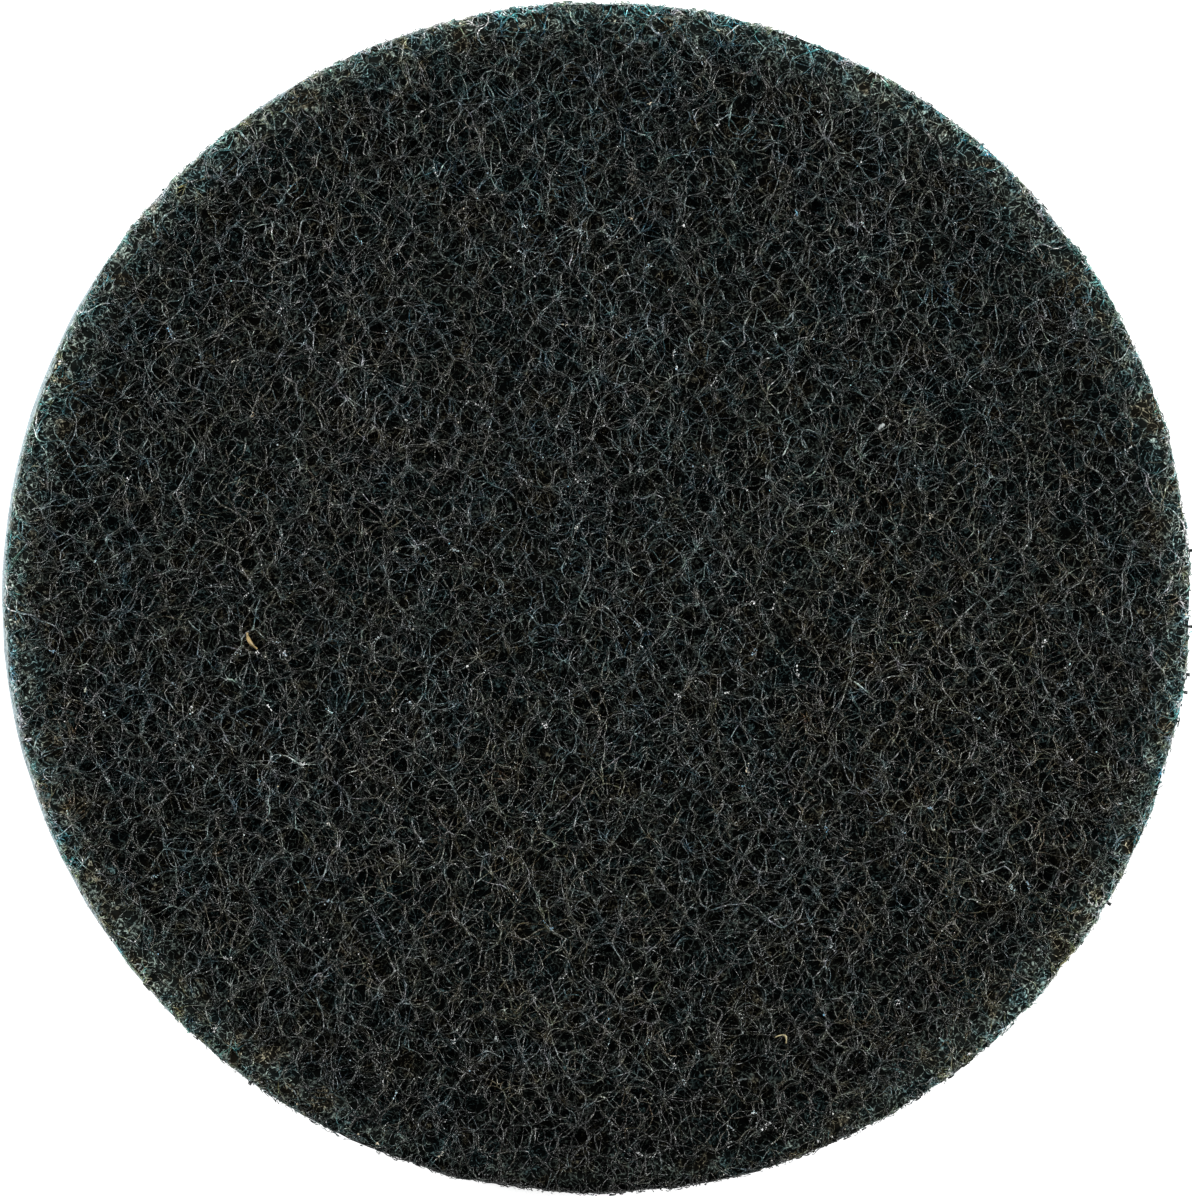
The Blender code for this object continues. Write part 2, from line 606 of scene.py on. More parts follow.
@dataclass(frozen=True)
class BedFinish(Finish):
    """The deep tangle: fibre-wide lines that follow the middle value of noise, over near black gaps of painted
    shade, with painted light at the rim and painted shade towards -Y.

    Attributes:
        gloss: Specular level.
        painted_shade_gap_share: Painted shade: brightness of the gaps over that of the lines.
        strand: The lines' colour.
        teal: Their colour in cold patches.
        tan: Their colour in warm patches.
        curls: Size of each layer's curls.
        curl_shift: Offset from one layer's noise to the next.
        curl_fading: How much dimmer each layer is than the last.
        line: Half width of a line, as noise.
        depth: Depth of the relief.
        patch_length: Size of the patches.
        patch_share: Strength of the patches.
        teal_span: Noise between which the cold patches rise.
        tan_span: Noise between which the warm patches rise.
        uneven_length: Size of the lines' uneven spots.
        uneven_shift: Offset of their noise.
        uneven_span: Noise between which they rise.
        uneven_factors: Their least and greatest factor.
        painted_rim_light: Painted light: factor on the brightness at the rim.
        rim_width: Width over which it rises.
        painted_near_shade_factor: Painted shade: factor on the brightness at -Y.
        near_end: Share of the radius at which that factor ends.
    """

    name: str = "deep_tangle"
    roughness: float = 0.8
    gloss: float = 0.02
    painted_shade_gap_share: float = 0.020
    strand: Colour = (0.120, 0.150, 0.132)
    teal: Colour = (0.070, 0.125, 0.128)
    tan: Colour = (0.145, 0.128, 0.085)
    curls: tuple[float, ...] = (1.5 * MM, 1.9 * MM, 1.3 * MM, 2.3 * MM, 1.7 * MM)
    curl_shift: float = 0.037
    curl_fading: float = 0.13
    line: float = 0.028
    depth: float = 0.2 * MM
    patch_length: float = 3.0 * MM
    patch_share: float = 0.85
    teal_span: Range = (0.52, 0.62)
    tan_span: Range = (0.46, 0.36)
    uneven_length: float = 0.26 * MM
    uneven_shift: float = 0.2
    uneven_span: Range = (0.36, 0.66)
    uneven_factors: Range = (0.05, 1.5)
    painted_rim_light: float = 4.8
    rim_width: float = 6.5 * MM
    painted_near_shade_factor: float = 0.3
    near_end: float = 0.75

    def strands(self, tree: ShaderTree, place: Wire) -> Wire:
        """Return the height of the lines: the greatest over layers of curls, each dimmer than the last.

        Args:
            tree: The material's tree.
            place: Coordinates in metres.

        Returns:
            The height, from 0 to 1.
        """
        height: Any = 0.0
        for number, curl in enumerate(self.curls):
            noise = tree.noise(place, curl, detail=1.0, shift=(number + 1) * self.curl_shift)
            strand = tree.ramp(abs(noise - 0.5), (0.0, self.line), (1.0 - self.curl_fading * number, 0.0))
            height = tree.maths("MAXIMUM", height, strand)
        return height

    def light(self, tree: ShaderTree, place: Wire) -> Wire:
        """Return the painted light and shade, a factor on the brightness: more towards the rim, and less
        towards -Y.

        Args:
            tree: The material's tree.
            place: Coordinates in metres.

        Returns:
            The factor.
        """
        edge = Layer.FLEECE.radius()
        across = tree.vector("MULTIPLY", place, (1.0, 1.0, 0.0))
        reach = tree.node("VectorMath", {"operation": "LENGTH"}, {0: across}, "Value")
        near = tree.node("SeparateXYZ", {}, {"Vector": place}, "Y")
        painted_rim_factor = tree.ramp(reach, (edge - self.rim_width, edge), (1.0, self.painted_rim_light))
        return painted_rim_factor * tree.ramp(near, (-edge, -self.near_end * edge), (self.painted_near_shade_factor, 1.0))

    def shader(self, tree: ShaderTree) -> Wire:
        """Add the nodes: the strands' hue times their height squared, unevenness and painted light and shade.

        Args:
            tree: The material's tree.

        Returns:
            The shader.
        """
        place = tree.place()
        height = self.strands(tree, place)
        patch = tree.noise(place, self.patch_length, detail=3.0)
        hue = tree.blend(tree.ramp(patch, self.teal_span, (0.0, self.patch_share)), self.strand, self.teal)
        hue = tree.blend(tree.ramp(patch, self.tan_span, (0.0, self.patch_share)), hue, self.tan)
        spots = tree.noise(place, self.uneven_length, detail=1.0, shift=self.uneven_shift)
        uneven = tree.ramp(spots, self.uneven_span, self.uneven_factors)
        # Painted shade: the gaps between the lines are near black
        share = self.painted_shade_gap_share + (1.0 - self.painted_shade_gap_share) * (height * height * uneven)
        # Painted light and shade from light()
        colour = tree.scaled(hue, share * self.light(tree, place))
        return tree.principled(Base_Color=colour, Roughness=self.roughness, Specular_IOR_Level=self.gloss,
                               Normal=tree.bump(height, self.depth))


@dataclass(frozen=True)
class ScrimFinish(Finish):
    """Plain woven nylon soaked with binder: yarns seen as crossing ridges, their hollows painted darker as
    shade.

    Attributes:
        yarn: Colour of the yarns.
        painted_hollow_shade: Painted shade: colour between the yarns.
        pitch: Distance from one yarn to the one after the next.
        distortion: How much the yarns waver.
        depth: Depth of the relief.
        fuzz_length: Size of the fuzz on the yarns.
        fuzz_least: Brightness where the fuzz is 0.
        fuzz_share: What the fuzz adds at most.
        yarn_span: Height between which hollow turns to yarn.
    """

    name: str = "woven_scrim_cloth"
    roughness: float = 0.6
    yarn: Colour = (0.50, 0.60, 0.60)
    painted_hollow_shade: Colour = (0.30, 0.36, 0.37)
    pitch: float = 1.5 * MM
    distortion: float = 0.6
    depth: float = 0.10 * MM
    fuzz_length: float = 0.2 * MM
    fuzz_least: float = 0.6
    fuzz_share: float = 0.8
    yarn_span: Range = (0.25, 0.8)

    def shader(self, tree: ShaderTree) -> Wire:
        """Add the nodes: the greater of two waves, along X and along Y.

        Args:
            tree: The material's tree.

        Returns:
            The shader.
        """
        place = tree.place()
        settings = {"wave_type": "BANDS", "wave_profile": "SIN"}
        sockets = {"Vector": place, "Scale": BAND_LENGTH / (0.5 * self.pitch), "Distortion": self.distortion}
        waves = [tree.node("TexWave", {**settings, "bands_direction": axis}, sockets, "Fac") for axis in "XY"]
        height = tree.maths("MAXIMUM", *waves)
        fuzz = self.fuzz_least + self.fuzz_share * tree.noise(place, self.fuzz_length, detail=3.0)
        # Painted shade: the hollows between the yarns are darker
        colour = tree.blend(tree.ramp(height * fuzz, self.yarn_span), self.painted_hollow_shade, self.yarn)
        return tree.principled(Base_Color=colour, Roughness=self.roughness,
                               Normal=tree.bump(height, self.depth))


@dataclass(frozen=True)
class FleeceFinish(Finish):
    """Brushed loop fleece: matt, with a soft fibre grain and broader tufts.

    Attributes:
        pile: Colour of the pile.
        shade: Colour of its hollows.
        depth: Depth of the relief.
        grain_length: Size of the grain.
        tuft_length: Size of the tufts.
        tuft_shift: Offset of their noise.
        tuft_share: Their share in the mix with the grain.
        pale_span: Value between which hollow turns to pile.
        sheen: Weight of the sheen.
    """

    name: str = "brushed_loop_fleece"
    roughness: float = 0.9
    pile: Colour = (0.50, 0.61, 0.64)
    shade: Colour = (0.30, 0.36, 0.39)
    depth: float = 0.12 * MM
    grain_length: float = 0.22 * MM
    tuft_length: float = 1.4 * MM
    tuft_shift: float = 0.11
    tuft_share: float = 0.4
    pale_span: Range = (0.36, 0.60)
    sheen: float = 0.3

    def shader(self, tree: ShaderTree) -> Wire:
        """Add the nodes: grain and tufts mixed.

        Args:
            tree: The material's tree.

        Returns:
            The shader.
        """
        place = tree.place()
        grain = tree.noise(place, self.grain_length, detail=4.0)
        tuft = tree.noise(place, self.tuft_length, detail=2.0, shift=self.tuft_shift)
        value = grain * (1.0 - self.tuft_share) + tuft * self.tuft_share
        colour = tree.blend(tree.ramp(value, self.pale_span), self.shade, self.pile)
        return tree.principled(Base_Color=colour, Roughness=self.roughness, Sheen_Weight=self.sheen,
                               Normal=tree.bump(grain, self.depth))


@dataclass
class FibrePaths:
    """A batch of fibres as arrays: each has as many points as the others, and uses those that are alive.

    Attributes:
        points: Array (fibres, points, 3) of the centrelines.
        radius: Array (fibres, points) of the fibre's radius.
        tint: Array (fibres, points, 3) of its colour.
        alive: Array (fibres, points), true from the first point up to where the fibre is cut off.
    """

    points: Array
    radius: Array
    tint: Array
    alive: Array

    @classmethod
    def uncut(cls, points: Array, radius: Array, tint: Array) -> "FibrePaths":
        """Return fibres that use all of their points."""
        return cls(points, radius, tint, np.ones(radius.shape, dtype=bool))

    def frames(self) -> tuple[Array, Array]:
        """Work out two unit vectors across each path.

        Returns:
            The sideways vector, which is level (the tangent crossed with Z), and the one across both.
        """
        tangent = np.gradient(self.points, axis=1)
        tangent /= np.linalg.norm(tangent, axis=-1, keepdims=True) + TINY
        side = np.cross(tangent, np.array([0.0, 0.0, 1.0]))
        side /= np.linalg.norm(side, axis=-1, keepdims=True) + TINY
        return side, np.cross(side, tangent)

    def rings(self) -> Array:
        """Place a ring of points about each path point: radius times the cosine and sine of each side's turn.

        Returns:
            Array (fibres, points, sides, 3).
        """
        side, rise = self.frames()
        turn = even_turns(TUBE_SIDES) + 0.5 * math.pi
        across = np.cos(turn)[:, None] * side[:, :, None, :] + np.sin(turn)[:, None] * rise[:, :, None, :]
        return self.points[:, :, None, :] + self.radius[:, :, None, None] * across

    def strip_uv(self, fibre: Array, along: Array, around: Array) -> Array:
        """Give each fibre its own strip of the bake map, its length to the right and its girth upward.

        Args:
            fibre: Fibre numbers.
            along: Share of the fibre's length.
            around: Share of its girth.

        Returns:
            Array with a last axis of u and v.
        """
        rows = -(-len(self.points) // STRIP_COLUMNS)
        along = STRIP_MARGIN_ALONG + (1.0 - 2.0 * STRIP_MARGIN_ALONG) * along
        around = STRIP_MARGIN_AROUND + (1.0 - 2.0 * STRIP_MARGIN_AROUND) * around
        return np.stack([(fibre % STRIP_COLUMNS + along) / STRIP_COLUMNS,
                         (fibre // STRIP_COLUMNS + around) / rows], axis=-1)

    def walls(self, number: Array) -> tuple[Array, Array]:
        """Number the tubes' quads and place them in the bake map.

        Args:
            number: Array (fibres, points, sides) of the rings' point numbers.

        Returns:
            Array (q, 4) of point numbers, and array (4q, 2) of u and v.
        """
        fibre, step = np.nonzero(self.alive[:, 1:])
        side = np.arange(TUBE_SIDES)
        ahead = (side + 1) % TUBE_SIDES
        here, beyond = number[fibre, step], number[fibre, step + 1]
        quads = np.stack([here[:, side], here[:, ahead], beyond[:, ahead], beyond[:, side]], axis=-1)
        along = np.stack([step, step, step + 1, step + 1], axis=-1) / (self.alive.shape[1] - 1.0)
        around = np.stack([side, side + 1, side + 1, side], axis=-1) / TUBE_SIDES
        places = np.broadcast_arrays(fibre[:, None, None], along[:, None, :], around[None, :, :])
        return quads.reshape(-1, 4), self.strip_uv(*places).reshape(-1, 2)

    def caps(self, number: Array) -> tuple[Array, Array]:
        """Number the triangles that close both ends of the tubes, and place them in the bake map.

        Args:
            number: Array (fibres, points, sides) of the rings' point numbers.

        Returns:
            Array (t, 3) of point numbers, and array (3t, 2) of u and v.
        """
        last = self.alive.sum(axis=1) - 1
        every = np.nonzero(last > 0)[0]
        caps = np.concatenate([number[every, 0][:, ::-1], number[every, last[every]]])
        along = np.concatenate([np.zeros(len(every)), last[every] / (self.alive.shape[1] - 1.0)])
        uv = self.strip_uv(np.repeat(np.concatenate([every, every]), TUBE_SIDES),
                           np.repeat(along, TUBE_SIDES) + np.tile(CAP_ALONG, len(caps)),
                           np.tile(CAP_AROUND, len(caps)))
        return caps, uv

    def build(self, name: str) -> bpy.types.Object:
        """Make one object of all the fibres: closed tubes that end in a cap at each end.

        Args:
            name: The object's name.

        Returns:
            The new object.
        """
        number = np.arange(self.alive.size * TUBE_SIDES).reshape(*self.alive.shape, TUBE_SIDES)
        quads, quad_uv = self.walls(number)
        caps, cap_uv = self.caps(number)
        kept, compact = np.unique(np.concatenate([quads.ravel(), caps.ravel()]), return_inverse=True)
        tint = np.repeat(self.tint[:, :, None, :], TUBE_SIDES, axis=2).reshape(-1, 3)
        return put_mesh(name, self.rings().reshape(-1, 3)[kept], compact[:quads.size].reshape(-1, 4),
                        compact[quads.size:].reshape(-1, 3), np.concatenate([quad_uv, cap_uv]), tint[kept])


@dataclass(frozen=True)
class Crimp:
    """A wave of crimp: its shortest and longest length, and its least and greatest swing in radians."""

    length: Range
    swing: Range


@dataclass(frozen=True)
class FibreKind:
    """A population of fibres.

    Attributes:
        count: Number of fibres in a batch.
        points: Points along a fibre.
        step: Distance between them.
        radius: Middle radius of the fibres.
        shallow: Least depth under the face.
        deep: Greatest depth under the face.
        weave: Most that a fibre rises and sinks about its depth.
        shade: Factor on the coating's colour.
        spread: Spread of the fibres' own shades.
        crimps: The waves of crimp.
        curl: Spread of the steady bend, in radians a metre.
        sway: Shortest and longest wave of its rise and fall.
    """

    count: int
    points: int
    step: float
    radius: float
    shallow: float
    deep: float
    weave: float
    shade: float
    spread: float
    crimps: tuple[Crimp, ...]
    curl: float
    sway: Range = (3.5 * MM, 8.0 * MM)


SURFACE = FibreKind(count=785, points=43, step=0.42 * MM, radius=0.058 * MM, shallow=0.0, deep=0.50 * MM,
                    weave=0.42 * MM, shade=1.16, spread=0.78, curl=110.0,
                    crimps=(Crimp((6.0 * MM, 14.0 * MM), (0.5, 1.5)),
                            Crimp((3.0 * MM, 5.0 * MM), (0.1, 0.6))))
TANGLE = FibreKind(count=1110, points=30, step=0.62 * MM, radius=0.073 * MM, shallow=0.20 * MM,
                   deep=1.10 * MM, weave=0.30 * MM, shade=0.96, spread=0.34, curl=90.0,
                   crimps=(Crimp((4.0 * MM, 9.0 * MM), (0.5, 1.5)), Crimp((2.4 * MM, 4.2 * MM), (0.2, 0.7))))
WALL = FibreKind(count=490, points=34, step=0.42 * MM, radius=0.060 * MM, shallow=0.0, deep=0.26 * MM,
                 weave=0.14 * MM, shade=0.42, spread=0.55, curl=90.0, sway=(1.4 * MM, 3.0 * MM),
                 crimps=(Crimp((2.5 * MM, 6.0 * MM), (0.6, 1.6)), Crimp((1.4 * MM, 2.6 * MM), (0.3, 0.8))))
STRAY = FibreKind(count=150, points=9, step=0.13 * MM, radius=0.085 * MM, shallow=-0.24 * MM, deep=0.06 * MM,
                  weave=0.0, shade=0.20, spread=0.4, curl=1500.0,
                  crimps=(Crimp((1.0 * MM, 2.4 * MM), (0.8, 2.0)),))
HAIR = FibreKind(count=1000, points=6, step=0.16 * MM, radius=0.036 * MM, shallow=-0.18 * MM, deep=0.04 * MM,
                 weave=0.20 * MM, shade=0.50, spread=0.5, curl=900.0, sway=(0.8 * MM, 2.0 * MM),
                 crimps=(Crimp((1.0 * MM, 2.4 * MM), (0.8, 2.0)),))


@dataclass(frozen=True)
class Coating:
    """Colour of the resin on the fibres: dark, uneven, and wandering between cold and warm, green and violet,
    with painted light at the rim and painted shade with depth and at -Y.

    Every field is a wavelength and a spread, which is the standard deviation of a colour's natural logarithm.

    Attributes:
        shade: The middle colour.
        own_limits: Least and greatest of a fibre's own shade, as spreads.
        light_fields: Fields of light and dark.
        warm_fields: Fields of warm and cold.
        green_fields: Fields of green and violet.
        drift: Lean to warm for each metre along X and Y.
        painted_light_drift: Painted light and shade: lean to lighter for each metre along X and Y.
        deep_colour: How much stronger warm and cold are at full depth.
        pale_fading: How fast they fade on light fibres.
        pale_green: How much violet light fibres take on.
        cold_green: How much green the cold takes on.
        warm_share: Factor on the warm side.
        fibre_warmth: Spread of the fibres' own lean to warm.
        fibre_green: Spread of their own lean to green, over that one.
        spot_length: Size of the cold spots.
        spot_span: Noise between which they rise.
        spot_strength: Their lean to cold.
        painted_depth_shade: Painted shade: how much darker fibres are the deeper they lie.
        rim_width: Width of the rim that is painted lighter.
        painted_rim_light: Painted light: how much lighter that rim is.
        rim_cold: Its lean to cold.
        rim_fading: How much its warm and cold fade.
        rim_power: How steeply it rises.
        painted_rim_light_gap: Painted shade: how much of the rim's painted light is missing at -Y.
        near_shade: How dark the shade inside the rim at -Y is.
        near_span: Distance from the edge between which that shade rises, in rim widths.
        warm_gain: Change of red, and of blue the other way, for a lean to warm.
        warm_loss: What red and blue lose for any lean.
        green_gain: Change of green for a lean to green.
        green_loss: Change of red and blue the other way.
        limits: Darkest and palest that a colour may be.
    """

    shade: Colour = (0.0181, 0.0234, 0.0202)
    own_limits: Range = (-2.0, 1.7)
    light_fields: tuple[Pair, ...] = ((0.8 * MM, 0.28), (2.2 * MM, 0.60), (12.0 * MM, 0.09))
    warm_fields: tuple[Pair, ...] = ((60.0 * MM, 0.26), (9.0 * MM, 0.42), (2.2 * MM, 0.56))
    green_fields: tuple[Pair, ...] = ((60.0 * MM, 0.03), (7.0 * MM, 0.05), (1.8 * MM, 0.07))
    drift: Pair = (3.0, -7.4)
    painted_light_drift: Pair = (0.0, 0.8)
    deep_colour: float = 2.8
    pale_fading: float = 0.9
    pale_green: float = 0.15
    cold_green: float = 0.12
    warm_share: float = 0.7
    fibre_warmth: float = 0.09
    fibre_green: float = 0.4
    spot_length: float = 2.2 * MM
    spot_span: Range = (1.5, 2.6)
    spot_strength: float = 1.3
    painted_depth_shade: float = 1.12
    rim_width: float = 6.0 * MM
    painted_rim_light: float = 4.0
    rim_cold: float = 0.52
    rim_fading: float = 0.50
    rim_power: float = 2.9
    painted_rim_light_gap: float = 0.84
    near_shade: float = 1.50
    near_span: Range = (-2.6, -0.5)
    warm_gain: float = 0.5
    warm_loss: float = 0.25
    green_gain: float = 0.6
    green_loss: float = 0.3
    limits: Range = (0.002, 0.7)

    def tints(self, points: Array, sunk: Array, kind: FibreKind, draw: np.random.Generator,
              seed: int) -> Array:
        """Colour fibres: the shade times the exponential of each spread times its own noise, with painted light
        at the rim and painted shade with depth and at -Y.

        Args:
            points: Array (fibres, points, 3).
            sunk: Array (fibres, points) of the depth in the web, from 0 to 1.
            kind: The fibres' kind.
            draw: Random numbers of this batch.
            seed: Seed of the patches, the same for every batch.

        Returns:
            Array (fibres, points, 3).
        """
        count = len(points)
        flat = points[..., :2]
        near = near_side(flat)
        inset = (np.hypot(flat[..., 0], flat[..., 1]) - Layer.FLEECE.radius()) / self.rim_width
        # Painted light: the rim is lighter, and most of that is missing at -Y
        rim = np.clip(1.0 + inset, 0.0, 1.0) ** self.rim_power * (1.0 - self.painted_rim_light_gap * near)
        own = kind.spread * np.clip(draw.normal(size=(count, 1)), *self.own_limits)
        # Painted shade: darker the deeper a fibre lies; painted light and shade: lighter towards +Y
        own = own - self.painted_depth_shade * sunk + flat @ np.array(self.painted_light_drift)
        # Painted shade inside the rim at -Y
        own = own - self.near_shade * near * smooth_step(inset, *self.near_span)
        own = add_fields(own, points, self.light_fields, seed + CoatingSeed.LIGHT)
        warm = self.fibre_warmth * draw.normal(size=(count, 1)) - self.rim_cold * rim
        warm = warm + (1.0 - rim) * (flat @ np.array(self.drift))
        warm = add_fields(warm, flat, self.warm_fields, seed + CoatingSeed.WARM)
        spots = wave_noise(flat, self.spot_length, seed + CoatingSeed.SPOTS)
        warm = warm - self.spot_strength * smooth_step(spots, *self.spot_span)
        warm = np.where(warm > 0.0, self.warm_share, 1.0) * warm * (1.0 - self.rim_fading * rim)
        warm = warm * (1.0 + self.deep_colour * sunk) * np.exp(-self.pale_fading * np.maximum(own, 0.0))
        green = self.fibre_green * self.fibre_warmth * draw.normal(size=(count, 1))
        green = green - self.pale_green * np.clip(own, -1.0, 1.0)
        green = add_fields(green, flat, self.green_fields, seed + CoatingSeed.GREEN)
        green = green + self.cold_green * np.maximum(-warm, 0.0)
        # The rim's painted light is added to the fibres' own tone
        light = own + self.painted_rim_light * rim
        other = light - self.green_loss * green - self.warm_loss * np.abs(warm)
        change = np.stack([other + self.warm_gain * warm, light + self.green_gain * green,
                           other - self.warm_gain * warm], axis=-1)
        return np.clip(kind.shade * np.array(self.shade) * np.exp(change), *self.limits)


@dataclass(frozen=True)
class GrainKind:
    """A population of grains.

    Attributes:
        name: Their piece's name.
        seed: Offset of their seed.
        single: Number of grains that lie alone.
        clusters: Number of clusters.
        radius: Middle radius of a grain.
        scatter: Least and greatest scatter about its place.
        bright: Middle brightness.
        cold: Mean lean from warm to cold.
        cluster_size: Least number of grains in a cluster, and the number that none reaches.
        seat: How high on its fibre a grain sits, over the fibre's radius.
        size_spread: Spread of the sizes' natural logarithm.
        bright_spread: Spread of the places' brightness, likewise.
        bright_factors: Least and greatest factor on each grain's brightness.
        warm_red: Red of a grain that leans neither way, over its green.
        cold_spread: Spread of the lean to cold.
        limits: Darkest and palest that a colour may be.
    """

    name: str
    seed: int
    single: int
    clusters: int
    radius: float
    scatter: Range
    bright: float
    cold: float
    cluster_size: tuple[int, int] = (4, 12)
    seat: float = 0.9
    size_spread: float = 0.32
    bright_spread: float = 0.5
    bright_factors: Range = (0.6, 1.2)
    warm_red: float = 0.9
    cold_spread: float = 0.17
    limits: Range = (0.05, 0.9)


# Pale grains of grit, pale enough that they also paint the face's glints
FACE_GRIT_AND_GLINTS = GrainKind("grit_grains_and_glints", WebSeed.FACE_GRIT_AND_GLINTS, single=560, clusters=170, radius=0.067 * MM,
                      scatter=(0.05 * MM, 0.15 * MM), bright=0.95, cold=0.06)
# Pale specks that paint the highlights on the rim's fibres
EDGE_PAINTED_GLINTS = GrainKind("edge_painted_glints", WebSeed.EDGE_PAINTED_GLINTS, single=2100, clusters=0, radius=0.070 * MM,
                       scatter=(0.0, 0.03 * MM), bright=0.62, cold=0.0)


@dataclass(frozen=True)
class Fleck:
    """A sliver on the face.

    Attributes:
        start: Pixel of one end in the photograph.
        bend: Pixel of the corner that it bends towards.
        end: Pixel of the other end.
        width: Its width in metres.
        colour: Its colour.
    """

    start: Pixel
    bend: Pixel
    end: Pixel
    width: float
    colour: Colour


FLECKS = (Fleck(start=(244.0, 632.0), bend=(244.0, 641.0), end=(254.0, 648.5), width=0.44 * MM,
                colour=(0.62, 0.46, 0.22)),
          Fleck(start=(773.0, 1037.0), bend=(787.0, 1030.0), end=(784.0, 1043.0), width=0.26 * MM,
                colour=(0.66, 0.57, 0.33)),
          Fleck(start=(877.2, 429.2), bend=(880.0, 425.0), end=(882.8, 423.5), width=0.52 * MM,
                colour=(0.52, 0.57, 0.56)),
          Fleck(start=(82.8, 687.0), bend=(82.0, 689.0), end=(82.0, 691.5), width=0.28 * MM,
                colour=(0.72, 0.76, 0.62)),
          Fleck(start=(402.0, 420.0), bend=(403.0, 419.0), end=(404.5, 420.5), width=0.26 * MM,
                colour=(0.66, 0.68, 0.66)),
          Fleck(start=(633.0, 979.0), bend=(634.0, 978.0), end=(635.5, 977.0), width=0.24 * MM,
                colour=(0.62, 0.64, 0.62)))


